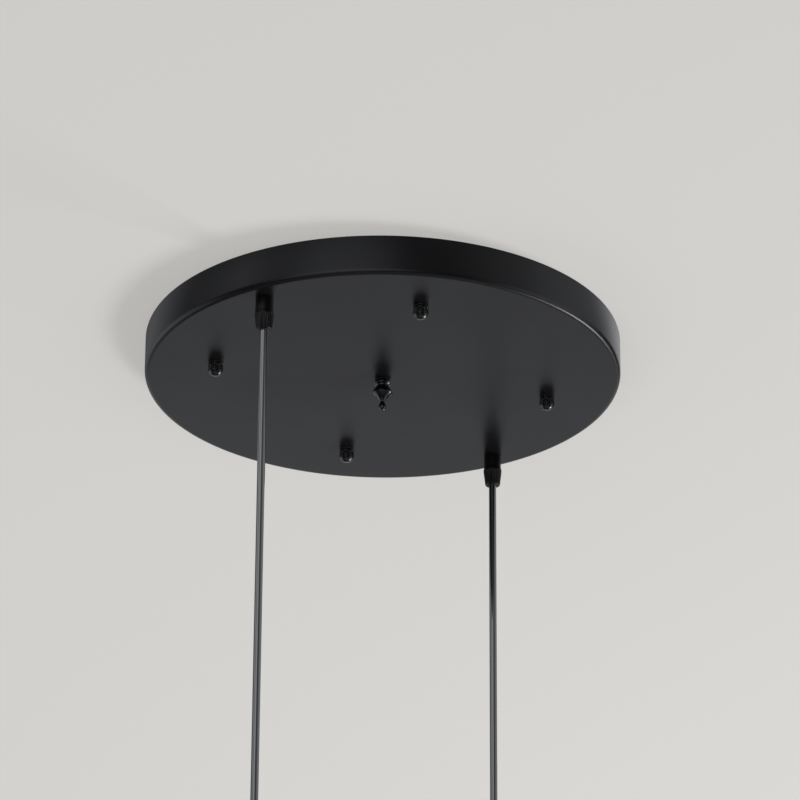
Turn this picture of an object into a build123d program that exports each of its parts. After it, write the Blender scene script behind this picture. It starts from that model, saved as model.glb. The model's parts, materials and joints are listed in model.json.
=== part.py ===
from build123d import *
import math
import os

# Two-light ceiling canopy, in millimetres. The origin is on the ceiling, in the middle of the
# canopy, and +Z points up into the ceiling. The bracket's bars lie along X and Y.

# Canopy pan, pressed from sheet steel and open towards the ceiling
PAN_DIAMETER = 300.0
PAN_HEIGHT = 25.0
PAN_WALL = 1.0
PAN_EDGE_RADIUS = 3.0

# Machine screws that hold the pan to the bracket, M4 by 25
SCREW_DIAMETER = 4.0
SCREW_LENGTH = 25.0
SCREW_HEAD_DIAMETER = 8.0
SCREW_HEAD_HEIGHT = 2.4
SCREW_HEAD_ROUND = 1.45
SCREW_RECESS_LENGTH = 4.4
SCREW_RECESS_WIDTH = 0.9
SCREW_RECESS_DEPTH = 1.3
FIXING_TO_RIM = 43.0
FIXING_ANGLES = {"right": 0.0, "rear": 90.0, "left": 180.0, "front": 270.0}
LOCK_NUT_WIDTH = 7.0
LOCK_NUT_HEIGHT = 3.2
NUT_CORNER_SHARE = 0.9

# Clearances: a screw in its plain hole, a thread that turns, a thread that stays, a loose gap
HOLE_CLEARANCE = 0.2
THREAD_CLEARANCE = 0.05
SEATED_CLEARANCE = 0.02
LOOSE_GAP = 0.3

# Cross bracket, two strips of sheet steel
BAR_WIDTH = 20.0
BAR_THICKNESS = 2.0
BAR_DROP = 5.0
BAR_END_MARGIN = 11.0
BAR_END_LENGTH = 24.0
BAR_CENTRE_LENGTH = 32.0
BAR_BEND_RADIUS = 1.5
BAR_CORNER_RADIUS = 4.0
SLOT_WIDTH = 5.0
SLOT_LENGTH = 30.0
SLOT_CENTRE = 50.0
LUG_LENGTH = 17.0
LUG_WIDTH = 12.0

# Knurled cap nuts and the thin washers under them
WASHER_THICKNESS = 0.5
CAP_WASHER_DIAMETER = 9.0
CAP_NUT_DIAMETER = 9.5
CAP_NUT_HEIGHT = 8.1
CAP_COLLAR_HEIGHT = 1.5
CAP_GROOVE_HEIGHT = 0.5
CAP_GROOVE_DEPTH = 0.45
CAP_BARREL_HEIGHT = 5.8
CAP_DOME_DIAMETER = 8.7
CAP_BORE_DEPTH = 6.2
CAP_CHAMFER = 0.3
KNURL_COUNT = 28
KNURL_DEPTH = 0.28

# Turned finial in the middle
FINIAL_BASE_DIAMETER = 9.6
FINIAL_FOOT_DIAMETER = 10.7
FINIAL_FOOT_HEIGHT = 1.8
FINIAL_LIP_HEIGHT = 0.65
FINIAL_LIP_INSET = 0.5
FINIAL_COVE_HEIGHT = 0.45
FINIAL_COVE_FLARE = 0.35
FINIAL_WAIST_DIAMETER = 7.4
FINIAL_WAIST_HEIGHT = 3.9
FINIAL_UMBRELLA_SHARES = (0.62, 0.45)
FINIAL_BOWL_DIAMETER = 12.4
FINIAL_BOWL_HEIGHT = 8.2
FINIAL_RIM_HEIGHT = 0.6
FINIAL_RIM_INSET = 0.15
FINIAL_BELLY_SHARES = (0.42, 0.5)
FINIAL_NECK_DIAMETER = 2.8
FINIAL_NECK_HEIGHT = 14.2
FINIAL_STEM_HEIGHT = 1.0
FINIAL_STEM_PINCH = 0.1
FINIAL_TIP_DIAMETER = 4.9
FINIAL_HEIGHT = 20.4
FINIAL_BORE_DEPTH = 6.0

# Cords and the grips that they hang from
CORD_DIAMETER = 4.8
CORD_TO_RIM = 16.0
CORD_ANGLES = {"right": 45.0, "left": 225.0}
CORD_END_LEVEL = -388.0
CORD_TURN_RADIUS = 6.5
BEND_SHARE = 0.45
GRIP_THREAD_DIAMETER = 10.0
GRIP_THREAD_LENGTH = 8.0
GRIP_BODY_DIAMETER = 10.9
GRIP_BODY_HEIGHT = 10.8
GRIP_SEAM_DIAMETER = 11.8
GRIP_FLARE_HEIGHT = 3.0
GRIP_BORE_DIAMETER = 5.6
GRIP_SPIGOT_DIAMETER = 8.6
GRIP_SPIGOT_LENGTH = 6.2
GRIP_SOCKET_DIAMETER = 7.4
GRIP_SOCKET_DEPTH = 3.6
GRIP_WASHER_DIAMETER = 15.0
GRIP_WASHER_THICKNESS = 1.0
GRIP_NUT_WIDTH = 14.0
GRIP_NUT_HEIGHT = 3.0
CLAMP_HEIGHT = 9.8
CLAMP_SHOULDER_DIAMETER = 9.7
CLAMP_SHOULDER_HEIGHT = 9.0
CLAMP_END_DIAMETER = 8.8
CLAMP_NOSE_BULGE = 0.1
CLAMP_MOUTH_DIAMETER = 6.4
CLAMP_FLUTE_COUNT = 22
CLAMP_FLUTE_RADIUS = 0.5
CLAMP_FLUTE_DEPTH = 0.3
CLAMP_SEAM_GAP = 0.2
SEAL_END_DIAMETER = 6.0
SEAL_END_HEIGHT = 0.5
SEAL_WIDE_DIAMETER = 7.0

# Terminal block under the bracket's lug, with three poles
BLOCK_POLES = 3
BLOCK_PITCH = 11.0
BLOCK_CORNER_RADIUS = 1.5
BLOCK_BASE_HEIGHT = 3.0
BLOCK_POLE_WIDTH = 7.6
BLOCK_TUNNEL_LEVEL = 5.5
BLOCK_POLE_HEIGHT = 9.2
BLOCK_POLE_ROUND = 2.0
BLOCK_TOWER_DIAMETER = 6.0
BLOCK_HEIGHT = 13.0
BLOCK_LENGTH = 32.0
BLOCK_GAP_TO_BAR = 2.0
BARREL_DIAMETER = 4.2
BARREL_BORE_DIAMETER = 2.8
BARREL_LENGTH = 13.0
BARREL_END_TO_FACE = 1.5
BARREL_END_TO_SCREW = 2.0
TERMINAL_SCREW_DIAMETER = 2.6
TERMINAL_SCREW_HEAD_DIAMETER = 3.6
TERMINAL_SCREW_HEAD_HEIGHT = 1.4
TERMINAL_SCREW_HEAD_INSET = 1.0
TERMINAL_SCREW_TIP_GAP = 1.1
SMALL_SLOT_WIDTH = 0.6
SMALL_SLOT_DEPTH = 0.7
BLOCK_SCREW_DIAMETER = 2.9
BLOCK_SCREW_HEAD_DIAMETER = 5.0
BLOCK_SCREW_HEAD_HEIGHT = 1.8
BLOCK_SCREW_RECESS_LENGTH = 3.1
BLOCK_SCREW_RECESS_WIDTH = 0.7
BLOCK_SCREW_RECESS_DEPTH = 1.1

# Conductors inside the pan
WIRE_DIAMETER = 2.0
WIRE_IN_BARREL = 2.0
WIRE_STRAIGHT = 4.0
WIRE_MOUTH_GAP = 5.0
WIRE_SPREAD = 1.2
WIRE_TURN_LEVEL = -9.5
CORD_INSIDE_LEVEL = -11.0

# Where the conductors turn, measured from the block's middle
WIRE_TURNS = {
    "right": {"brown": (30.0, -2.0), "blue": (26.0, 6.0)},
    "left": {"brown": (-20.0, -10.5), "blue": (-23.0, -4.0)},
}

# The route of each cord inside the pan, as shares of the cord circle's radius
CORD_INSIDE_ROUTES = {
    "right": [(0.627, 0.373), (0.507, 0.09), (0.448, -0.179)],
    "left": [(-0.448, -0.716), (-0.239, -0.582), (-0.104, -0.4925)],
}

# Earth connection under the bar that lies along X
EARTH_PLACE = 27.0
EARTH_RING_DIAMETER = 8.4
EARTH_RING_THICKNESS = 0.8
EARTH_CRIMP_DIAMETER = 3.4
EARTH_CRIMP_LENGTH = 6.0
EARTH_CRIMP_START = 7.0
EARTH_WASHER_DIAMETER = 7.6
EARTH_WASHER_THICKNESS = 0.8
EARTH_WASHER_CUT = 0.5
EARTH_SCREW_LENGTH = 3.4

# Lamp holders with an E27 thread, on the cords' lower ends
HOLDER_TOP_LEVEL = -374.0
HOLDER_GLAND_DIAMETER = 10.0
HOLDER_GLAND_HEIGHT = 14.0
HOLDER_GLAND_IN_CAP = 5.0
HOLDER_GLAND_CHAMFER = 1.0
HOLDER_GLAND_SCREW_DIAMETER = 2.6
HOLDER_GLAND_SCREW_DROP = 4.5
HOLDER_GLAND_SCREW_PROUD = 0.4
HOLDER_DIAMETER = 38.0
HOLDER_CAP_HEIGHT = 21.0
HOLDER_WALL = 2.2
HOLDER_RIM_SHARE = 0.3
HOLDER_SHOULDER_DIAMETER = 16.0
HOLDER_SKIRT_DIAMETER = 40.0
HOLDER_SKIRT_HEIGHT = 36.0
HOLDER_COLLAR_HEIGHT = 3.0
HOLDER_COLLAR_STEP = 1.0
HOLDER_TAPER = 1.0
HOLDER_EDGE_CHAMFER = 0.6
HOLDER_FOOT_CHAMFER = 0.8
HOLDER_RIB_COUNT = 36
HOLDER_RIB_DEPTH = 0.6
HOLDER_RIB_WIDTH = 0.9
HOLDER_RIB_LENGTH = 7.2
HOLDER_RIB_DROP = 1.0
HOLDER_BORE_DIAMETER = 26.6
HOLDER_THREAD_LENGTH = 18.0
HOLDER_CHAMBER_DIAMETER = 28.6
HOLDER_CHAMBER_HEIGHT = 4.0
HOLDER_MOUTH_DIAMETER = 31.0
HOLDER_MOUTH_DEPTH = 6.0
HOLDER_CORE_DIAMETER = 31.0
HOLDER_CORE_HEIGHT = 8.0
HOLDER_CONTACT_WIDTH = 6.0
HOLDER_CONTACT_THICKNESS = 0.5
HOLDER_CONTACT_START = -8.0
HOLDER_CONTACT_FOOT = 5.0
HOLDER_CONTACT_SLOPE = 5.5
HOLDER_CONTACT_TIP = 2.5
HOLDER_CONTACT_DROP = 4.0
HOLDER_CONTACT_BEND = 1.0
HOLDER_CONTACT_SLOT_LENGTH = 18.6
HOLDER_CONTACT_SLOT_DEPTH = 1.6
HOLDER_CONTACT_GAP = 1.0

# Levels and radii that follow from the sizes above
PAN_FACE = -PAN_HEIGHT
PAN_FLOOR = PAN_FACE + PAN_WALL
FIXING_CIRCLE_RADIUS = PAN_DIAMETER / 2 - FIXING_TO_RIM
CORD_CIRCLE_RADIUS = PAN_DIAMETER / 2 - CORD_TO_RIM
CORD_RADIUS = CORD_DIAMETER / 2
WASHER_FACE = PAN_FACE - WASHER_THICKNESS
GRIP_SEAM = PAN_FACE - GRIP_BODY_HEIGHT
CLAMP_TOP = GRIP_SEAM - CLAMP_SEAM_GAP
CLAMP_BOTTOM = CLAMP_TOP - CLAMP_HEIGHT
SEAL_BOTTOM = CLAMP_BOTTOM - SEAL_END_HEIGHT
BAR_HALF_LENGTH = FIXING_CIRCLE_RADIUS + BAR_END_MARGIN
BAR_FOOT_BOTTOM = -BAR_THICKNESS
BLOCK_DEPTH = BARREL_LENGTH + 2 * BARREL_END_TO_FACE
BLOCK_TOWER_SPACING = BARREL_LENGTH - 2 * BARREL_END_TO_SCREW
BLOCK_CENTRE_X = BAR_WIDTH / 2 + BLOCK_GAP_TO_BAR + BLOCK_DEPTH / 2
BLOCK_CENTRE_Y = -SLOT_CENTRE
BLOCK_TUNNEL = BAR_FOOT_BOTTOM - BLOCK_TUNNEL_LEVEL
BLOCK_SCREW_Y = BLOCK_CENTRE_Y + BLOCK_PITCH / 2
HOLDER_CAP_TOP = HOLDER_TOP_LEVEL - HOLDER_GLAND_HEIGHT + HOLDER_GLAND_IN_CAP
HOLDER_CAP_BOTTOM = HOLDER_CAP_TOP - HOLDER_CAP_HEIGHT
HOLDER_BOTTOM = HOLDER_CAP_BOTTOM - HOLDER_SKIRT_HEIGHT
HOLDER_THREAD_TOP = HOLDER_BOTTOM + HOLDER_MOUTH_DEPTH + HOLDER_THREAD_LENGTH
HOLDER_CORE_BOTTOM = HOLDER_THREAD_TOP + HOLDER_CHAMBER_HEIGHT

TOP = (Align.CENTER, Align.CENTER, Align.MAX)
BOTTOM = (Align.CENTER, Align.CENTER, Align.MIN)


def rod(diameter, top, bottom):
    """A round bar on the Z axis between two levels."""
    return Pos(0, 0, top) * Cylinder(diameter / 2, top - bottom, align=TOP)


def turned(outline):
    """A turned piece from its closed half outline, drawn as radius and level."""
    return revolve(Plane.XZ * make_face(outline), Axis.Z)


def dome_arc(radius, rim, tip):
    """The outline of a round dome, from its rim's radius and level down to its tip on the axis."""
    height = rim - tip
    sphere = (radius**2 + height**2) / (2 * height)
    half_angle = math.asin(radius / sphere) / 2
    halfway = (sphere * math.sin(half_angle), tip + sphere - sphere * math.cos(half_angle))
    return ThreePointArc((radius, rim), halfway, (0, tip))


def at_angle(angle, radius):
    """The place on a circle round the canopy's middle."""
    return Pos(radius * math.cos(math.radians(angle)), radius * math.sin(math.radians(angle)), 0)


def round_pattern(count, piece):
    """Copies of a piece evenly spaced round the Z axis."""
    return [Rot(0, 0, 360 * i / count) * piece for i in range(count)]


def washer(diameter, thickness, hole, top):
    """A flat ring hanging below a level."""
    return rod(diameter, top, top - thickness) - rod(hole, top, top - thickness)


def hexagon_nut(width, height, hole, top):
    """A hexagon nut below a level, with the corners of both ends turned off."""
    corner = width / math.sqrt(3)
    blank = Pos(0, 0, top - height) * extrude(RegularPolygon(corner, 6), height)
    facing = chamfer(rod(2 * corner, top, top - height).edges(), (corner - width / 2) * NUT_CORNER_SHARE)
    return (blank & facing) - rod(hole, top, top - height)


def corner_radii(points):
    """The largest even bend for each corner of a route, from the shorter of its two runs."""
    radii = []
    for before, corner, after in zip(points, points[1:], points[2:]):
        arriving, leaving = Vector(*corner) - Vector(*before), Vector(*after) - Vector(*corner)
        half_turn = math.radians(arriving.get_angle(leaving)) / 2
        radii.append(BEND_SHARE * min(arriving.length, leaving.length) / math.tan(half_turn))
    return radii


def tube(points, diameter, radii=None):
    """A round cord or wire along straight runs that are joined by tangent arcs."""
    bends = radii or corner_radii(points)
    path = FilletPolyline(*points, radius=bends)
    section = Plane(origin=path @ 0, z_dir=path % 0) * Circle(diameter / 2)
    solid = sweep(section, path=path)
    ideal = math.pi * diameter**2 / 4 * path.length
    print("tube", round(path.length, 1), "mm, radii", [round(r, 1) for r in bends],
          "volume share", round(solid.volume / ideal, 4))
    return solid


# Pan and bracket


def canopy_pan():
    """The shallow round pan with its holes for screws, finial and cord grips."""
    outside = Cylinder(PAN_DIAMETER / 2, PAN_HEIGHT, align=TOP)
    outside = fillet(outside.edges().group_by(Axis.Z)[0], PAN_EDGE_RADIUS)
    hollow = Cylinder(PAN_DIAMETER / 2 - PAN_WALL, PAN_HEIGHT - PAN_WALL, align=TOP)
    hollow = fillet(hollow.edges().group_by(Axis.Z)[0], PAN_EDGE_RADIUS - PAN_WALL)
    pan = outside - hollow
    screw_hole = rod(SCREW_DIAMETER + 2 * HOLE_CLEARANCE, PAN_FLOOR, PAN_FACE)
    grip_hole = rod(GRIP_THREAD_DIAMETER + 2 * HOLE_CLEARANCE, PAN_FLOOR, PAN_FACE)
    pan -= screw_hole
    for angle in FIXING_ANGLES.values():
        pan -= at_angle(angle, FIXING_CIRCLE_RADIUS) * screw_hole
    for angle in CORD_ANGLES.values():
        pan -= at_angle(angle, CORD_CIRCLE_RADIUS) * grip_hole
    return pan


def bent_strip(centre_level):
    """A bar of the bracket along X: feet on the ceiling, dropped ends, and a dropped middle."""
    end, middle = BAR_END_LENGTH, BAR_CENTRE_LENGTH / 2
    half = [
        (middle, centre_level),
        (middle - centre_level, 0),
        (BAR_HALF_LENGTH - end - BAR_DROP, 0),
        (BAR_HALF_LENGTH - end, -BAR_DROP),
        (BAR_HALF_LENGTH, -BAR_DROP),
    ]
    upper = [(-x, z) for x, z in reversed(half)] + half
    line = FilletPolyline(*upper, radius=BAR_BEND_RADIUS)
    side = make_face(offset(line, BAR_THICKNESS, side=Side.RIGHT))
    strip = extrude(Plane.XZ * side, BAR_WIDTH / 2, both=True)
    ends = strip.edges().filter_by(Axis.Z).group_by(SortBy.LENGTH)[0]
    strip = fillet(ends, BAR_CORNER_RADIUS)
    slot = Pos(0, 0, -BAR_THICKNESS) * extrude(SlotOverall(SLOT_LENGTH, SLOT_WIDTH), BAR_THICKNESS)
    screw_hole = rod(SCREW_DIAMETER + 2 * HOLE_CLEARANCE, 0, -PAN_HEIGHT / 2)
    for way in (-1, 1):
        strip -= Pos(way * SLOT_CENTRE, 0, 0) * slot
        strip -= Pos(way * FIXING_CIRCLE_RADIUS, 0, 0) * screw_hole
    return strip - screw_hole


def bracket_bar_x():
    """The upper bar, with a tapped hole for the earth screw."""
    bar = bent_strip(-BAR_DROP)
    return bar - Pos(EARTH_PLACE, 0, 0) * rod(SCREW_DIAMETER + 2 * SEATED_CLEARANCE, 0, BAR_FOOT_BOTTOM)


def bracket_bar_y():
    """The lower bar, with a lug at its side that carries the terminal block."""
    bar = Rot(0, 0, 90) * bent_strip(-BAR_DROP - BAR_THICKNESS)
    lug = Box(LUG_LENGTH + LUG_WIDTH, LUG_WIDTH, BAR_THICKNESS, align=(Align.MIN, Align.CENTER, Align.MAX))
    lug = fillet(lug.edges().filter_by(Axis.Z).group_by(Axis.X)[-1], BAR_CORNER_RADIUS)
    lug = Pos(BAR_WIDTH / 2 - LUG_WIDTH, BLOCK_SCREW_Y, 0) * lug
    slot = Pos(0, -SLOT_CENTRE, -BAR_THICKNESS) * extrude(
        Rot(0, 0, 90) * SlotOverall(SLOT_LENGTH, SLOT_WIDTH), BAR_THICKNESS)
    screw_hole = rod(BLOCK_SCREW_DIAMETER + 2 * SEATED_CLEARANCE, 0, BAR_FOOT_BOTTOM)
    return bar + (lug - slot) - Pos(BLOCK_CENTRE_X, BLOCK_SCREW_Y, 0) * screw_hole


def fixing_screw():
    """A pan-head machine screw that hangs through the bracket's bar."""
    head = rod(SCREW_HEAD_DIAMETER, SCREW_HEAD_HEIGHT - BAR_DROP, -BAR_DROP)
    head = fillet(head.edges().group_by(Axis.Z)[-1], SCREW_HEAD_ROUND)
    recess = Box(SCREW_RECESS_LENGTH, SCREW_RECESS_WIDTH, SCREW_RECESS_DEPTH, align=TOP)
    cross = Pos(0, 0, SCREW_HEAD_HEIGHT - BAR_DROP) * (recess + Rot(0, 0, 90) * recess)
    return head - cross + rod(SCREW_DIAMETER, -BAR_DROP, -BAR_DROP - SCREW_LENGTH)


def fixing_screws():
    """The four outer screws and the one that carries the finial."""
    screw = fixing_screw()
    places = [Pos(0, 0, 0)] + [at_angle(a, FIXING_CIRCLE_RADIUS) for a in FIXING_ANGLES.values()]
    return Compound(children=[place * screw for place in places])


def lock_nuts():
    """The hexagon nuts that hold the screws to the bars, the middle one under both bars."""
    hole = SCREW_DIAMETER + 2 * SEATED_CLEARANCE
    under_bar = -BAR_DROP - BAR_THICKNESS
    outer = hexagon_nut(LOCK_NUT_WIDTH, LOCK_NUT_HEIGHT, hole, under_bar)
    middle = hexagon_nut(LOCK_NUT_WIDTH, LOCK_NUT_HEIGHT, hole, under_bar - BAR_THICKNESS)
    placed = [at_angle(a, FIXING_CIRCLE_RADIUS) * outer for a in FIXING_ANGLES.values()]
    return Compound(children=[middle] + placed)


# Cap nuts and finial


def cap_nut():
    """A knurled cap nut with a plain collar, a groove, a knurled barrel and a low dome."""
    radius, dome_radius = CAP_NUT_DIAMETER / 2, CAP_DOME_DIAMETER / 2
    groove_top = WASHER_FACE - CAP_COLLAR_HEIGHT
    groove_bottom = groove_top - CAP_GROOVE_HEIGHT
    barrel_bottom = WASHER_FACE - CAP_BARREL_HEIGHT
    tip = WASHER_FACE - CAP_NUT_HEIGHT
    groove = radius - CAP_GROOVE_DEPTH
    sides = Polyline(
        (0, tip), (0, WASHER_FACE), (radius - CAP_CHAMFER, WASHER_FACE), (radius, WASHER_FACE - CAP_CHAMFER),
        (radius, groove_top), (groove, groove_top), (groove, groove_bottom), (radius, groove_bottom),
        (radius, barrel_bottom + CAP_CHAMFER), (radius - CAP_CHAMFER, barrel_bottom),
        (dome_radius, barrel_bottom))
    nut = turned(sides + dome_arc(dome_radius, barrel_bottom, tip))
    knurl = Pos(radius, 0, groove_bottom) * Rot(0, 0, 45) * Box(
        KNURL_DEPTH * math.sqrt(2), KNURL_DEPTH * math.sqrt(2), groove_bottom - barrel_bottom, align=TOP)
    nut -= round_pattern(KNURL_COUNT, knurl)
    return nut - rod(SCREW_DIAMETER + 2 * THREAD_CLEARANCE, WASHER_FACE, WASHER_FACE - CAP_BORE_DEPTH)


def finial():
    """The turned finial: foot, waist, bowl, neck and tip, with a tapped hole in its foot."""
    def level(height):
        return WASHER_FACE - height

    foot, waist, bowl = FINIAL_FOOT_DIAMETER / 2, FINIAL_WAIST_DIAMETER / 2, FINIAL_BOWL_DIAMETER / 2
    neck, tip = FINIAL_NECK_DIAMETER / 2, FINIAL_TIP_DIAMETER / 2
    out_share, down_share = FINIAL_UMBRELLA_SHARES
    in_share, fall_share = FINIAL_BELLY_SHARES
    lip = (foot - FINIAL_LIP_INSET, level(FINIAL_FOOT_HEIGHT + FINIAL_LIP_HEIGHT))
    cove = (waist + FINIAL_COVE_FLARE, lip[1] - FINIAL_COVE_HEIGHT)
    waist_point = (waist, level(FINIAL_WAIST_HEIGHT))
    umbrella = (waist + (bowl - waist) * out_share,
                level(FINIAL_WAIST_HEIGHT + (FINIAL_BOWL_HEIGHT - FINIAL_WAIST_HEIGHT) * down_share))
    rim_bottom = (bowl - FINIAL_RIM_INSET, level(FINIAL_BOWL_HEIGHT + FINIAL_RIM_HEIGHT))
    belly = (neck + bowl * in_share,
             level(FINIAL_BOWL_HEIGHT + (FINIAL_NECK_HEIGHT - FINIAL_BOWL_HEIGHT) * fall_share))
    neck_point = (neck, level(FINIAL_NECK_HEIGHT))
    stem = (neck - FINIAL_STEM_PINCH, level(FINIAL_NECK_HEIGHT + FINIAL_STEM_HEIGHT))
    tip_rim = (tip, level(FINIAL_HEIGHT - tip))
    outline = Polyline((0, level(FINIAL_HEIGHT)), (0, level(0)), (FINIAL_BASE_DIAMETER / 2, level(0)),
                       (foot, level(FINIAL_FOOT_HEIGHT)), lip)
    outline += ThreePointArc(lip, cove, waist_point)
    outline += ThreePointArc(waist_point, umbrella, (bowl, level(FINIAL_BOWL_HEIGHT)))
    outline += Line((bowl, level(FINIAL_BOWL_HEIGHT)), rim_bottom)
    outline += ThreePointArc(rim_bottom, belly, neck_point)
    outline += ThreePointArc(neck_point, stem, tip_rim)
    solid = turned(outline + dome_arc(tip, tip_rim[1], level(FINIAL_HEIGHT)))
    return solid - rod(SCREW_DIAMETER + 2 * THREAD_CLEARANCE, WASHER_FACE, level(FINIAL_BORE_DEPTH))


def thin_washer(diameter):
    """The thin washer that keeps a turning piece off the paint."""
    return washer(diameter, WASHER_THICKNESS, SCREW_DIAMETER + 2 * HOLE_CLEARANCE, PAN_FACE)


# Cord grips


def grip_body():
    """The grip's body: thread through the pan, visible collar, and spigot with a socket for the seal."""
    collar, seam = GRIP_BODY_DIAMETER / 2, GRIP_SEAM_DIAMETER / 2
    spigot_bottom = GRIP_SEAM - GRIP_SPIGOT_LENGTH
    body = turned(Polyline(
        (0, PAN_FACE), (collar, PAN_FACE), (collar, GRIP_SEAM + GRIP_FLARE_HEIGHT), (seam, GRIP_SEAM),
        (0, GRIP_SEAM), close=True))
    body += rod(GRIP_THREAD_DIAMETER, PAN_FACE + GRIP_THREAD_LENGTH, PAN_FACE)
    body += rod(GRIP_SPIGOT_DIAMETER, GRIP_SEAM, spigot_bottom)
    body -= rod(GRIP_BORE_DIAMETER, PAN_FACE + GRIP_THREAD_LENGTH, spigot_bottom)
    return body - rod(GRIP_SOCKET_DIAMETER, spigot_bottom + GRIP_SOCKET_DEPTH, spigot_bottom)


def clamp_nut():
    """The fluted nut that presses the seal onto the cord."""
    seam, shoulder = GRIP_SEAM_DIAMETER / 2, CLAMP_SHOULDER_DIAMETER / 2
    shoulder_level = CLAMP_TOP - CLAMP_SHOULDER_HEIGHT
    end = CLAMP_END_DIAMETER / 2
    sides = Polyline((0, CLAMP_BOTTOM), (0, CLAMP_TOP), (seam, CLAMP_TOP), (shoulder, shoulder_level))
    nose_middle = ((shoulder + end) / 2 + CLAMP_NOSE_BULGE, (shoulder_level + CLAMP_BOTTOM) / 2)
    nose = ThreePointArc((shoulder, shoulder_level), nose_middle, (end, CLAMP_BOTTOM))
    nut = turned(sides + nose + Line((end, CLAMP_BOTTOM), (0, CLAMP_BOTTOM)))
    lean = math.degrees(math.atan((seam - shoulder) / CLAMP_SHOULDER_HEIGHT))
    flute = Pos(seam + CLAMP_FLUTE_RADIUS - CLAMP_FLUTE_DEPTH, 0, CLAMP_TOP) * Rot(0, lean, 0) * Cylinder(
        CLAMP_FLUTE_RADIUS, 2 * CLAMP_HEIGHT)
    nut -= round_pattern(CLAMP_FLUTE_COUNT, flute)
    thread_bottom = GRIP_SEAM - GRIP_SPIGOT_LENGTH - LOOSE_GAP
    nut -= rod(GRIP_SPIGOT_DIAMETER + 2 * THREAD_CLEARANCE, CLAMP_TOP, thread_bottom)
    return nut - rod(CLAMP_MOUTH_DIAMETER, thread_bottom, CLAMP_BOTTOM)


def grip_seal():
    """The rubber seal round the cord, which shows as a short collar below the clamp nut."""
    socket_floor = GRIP_SEAM - GRIP_SPIGOT_LENGTH + GRIP_SOCKET_DEPTH
    shoulder = GRIP_SEAM - GRIP_SPIGOT_LENGTH - LOOSE_GAP
    seal = rod(SEAL_WIDE_DIAMETER, socket_floor - LOOSE_GAP, shoulder)
    seal += rod(SEAL_END_DIAMETER, shoulder, SEAL_BOTTOM)
    return seal - rod(CORD_DIAMETER + 2 * THREAD_CLEARANCE, PAN_FACE, SEAL_BOTTOM)


def grip_washer():
    """The flat washer between the pan's floor and the grip's hexagon nut."""
    top = PAN_FLOOR + GRIP_WASHER_THICKNESS
    hole = GRIP_THREAD_DIAMETER + 2 * HOLE_CLEARANCE
    return washer(GRIP_WASHER_DIAMETER, GRIP_WASHER_THICKNESS, hole, top)


def grip_lock_nut():
    """The hexagon nut that holds the grip from inside the pan."""
    top = PAN_FLOOR + GRIP_WASHER_THICKNESS + GRIP_NUT_HEIGHT
    hole = GRIP_THREAD_DIAMETER + 2 * SEATED_CLEARANCE
    return hexagon_nut(GRIP_NUT_WIDTH, GRIP_NUT_HEIGHT, hole, top)


# Cords and conductors


def cord_place(side):
    """Where a cord hangs, as x and y."""
    angle = math.radians(CORD_ANGLES[side])
    return CORD_CIRCLE_RADIUS * math.cos(angle), CORD_CIRCLE_RADIUS * math.sin(angle)


def hanging_cord(side):
    """The straight stretch from the grip's seal to the lamp holder."""
    return Pos(*cord_place(side), 0) * rod(CORD_DIAMETER, SEAL_BOTTOM, CORD_END_LEVEL)


def pole_place(pole, way):
    """Where a conductor ends in a pole's barrel; way is -1 on the bar's side and 1 on the open side."""
    x = BLOCK_CENTRE_X + way * (BARREL_LENGTH / 2 - WIRE_IN_BARREL)
    return x, BLOCK_CENTRE_Y + (pole - (BLOCK_POLES - 1) / 2) * BLOCK_PITCH, BLOCK_TUNNEL


def cord_inside_points(side):
    """The route of the cord's sheath from the seal up and across the pan."""
    x, y = cord_place(side)
    across = [(CORD_CIRCLE_RADIUS * px, CORD_CIRCLE_RADIUS * py, CORD_INSIDE_LEVEL)
              for px, py in CORD_INSIDE_ROUTES[side]]
    return [(x, y, SEAL_BOTTOM), (x, y, CORD_INSIDE_LEVEL)] + across


def cord_inside(side):
    """The sheathed cord inside the grip and the pan."""
    points = cord_inside_points(side)
    radii = [CORD_TURN_RADIUS] + corner_radii(points)[1:]
    return tube(points, CORD_DIAMETER, radii)


def conductor(side, colour):
    """An insulated conductor from the end of the sheath to its pole."""
    end = cord_inside_points(side)[-1]
    before = cord_inside_points(side)[-2]
    ahead = (Vector(*end) - Vector(*before)).normalized()
    way = 1 if side == "right" else -1
    pole, spread = (0, WIRE_SPREAD) if colour == "brown" else (1, -WIRE_SPREAD)
    start = Vector(*end) + Vector(-ahead.Y, ahead.X, 0) * way * spread
    straight = start + ahead * WIRE_STRAIGHT
    turn_x, turn_y = WIRE_TURNS[side][colour]
    turn = (BLOCK_CENTRE_X + turn_x, BLOCK_CENTRE_Y + turn_y, WIRE_TURN_LEVEL)
    x, y, z = pole_place(pole, way)
    mouth = (BLOCK_CENTRE_X + way * (BLOCK_DEPTH / 2 + WIRE_MOUTH_GAP), y, z)
    return tube([tuple(start), tuple(straight), turn, mouth, (x, y, z)], WIRE_DIAMETER)


def earth_wire():
    """The earth conductor from the block's third pole to the ring terminal."""
    level = earth_crimp_level()
    crimp_end = -EARTH_CRIMP_START - EARTH_CRIMP_LENGTH
    x, y, z = pole_place(BLOCK_POLES - 1, 1)
    mouth = BLOCK_CENTRE_X + BLOCK_DEPTH / 2 + WIRE_MOUTH_GAP
    inside_crimp = (EARTH_PLACE, crimp_end + EARTH_CRIMP_LENGTH / 2, level)
    outside_crimp = (EARTH_PLACE, crimp_end - WIRE_STRAIGHT, level)
    turn = (mouth + WIRE_MOUTH_GAP, crimp_end - 3 * WIRE_STRAIGHT, z)
    return tube([inside_crimp, outside_crimp, turn, (mouth, y, z), (x, y, z)], WIRE_DIAMETER)


# Terminal block


def block_poles():
    """The middle of each pole along Y."""
    return [BLOCK_CENTRE_Y + (i - (BLOCK_POLES - 1) / 2) * BLOCK_PITCH for i in range(BLOCK_POLES)]


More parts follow.
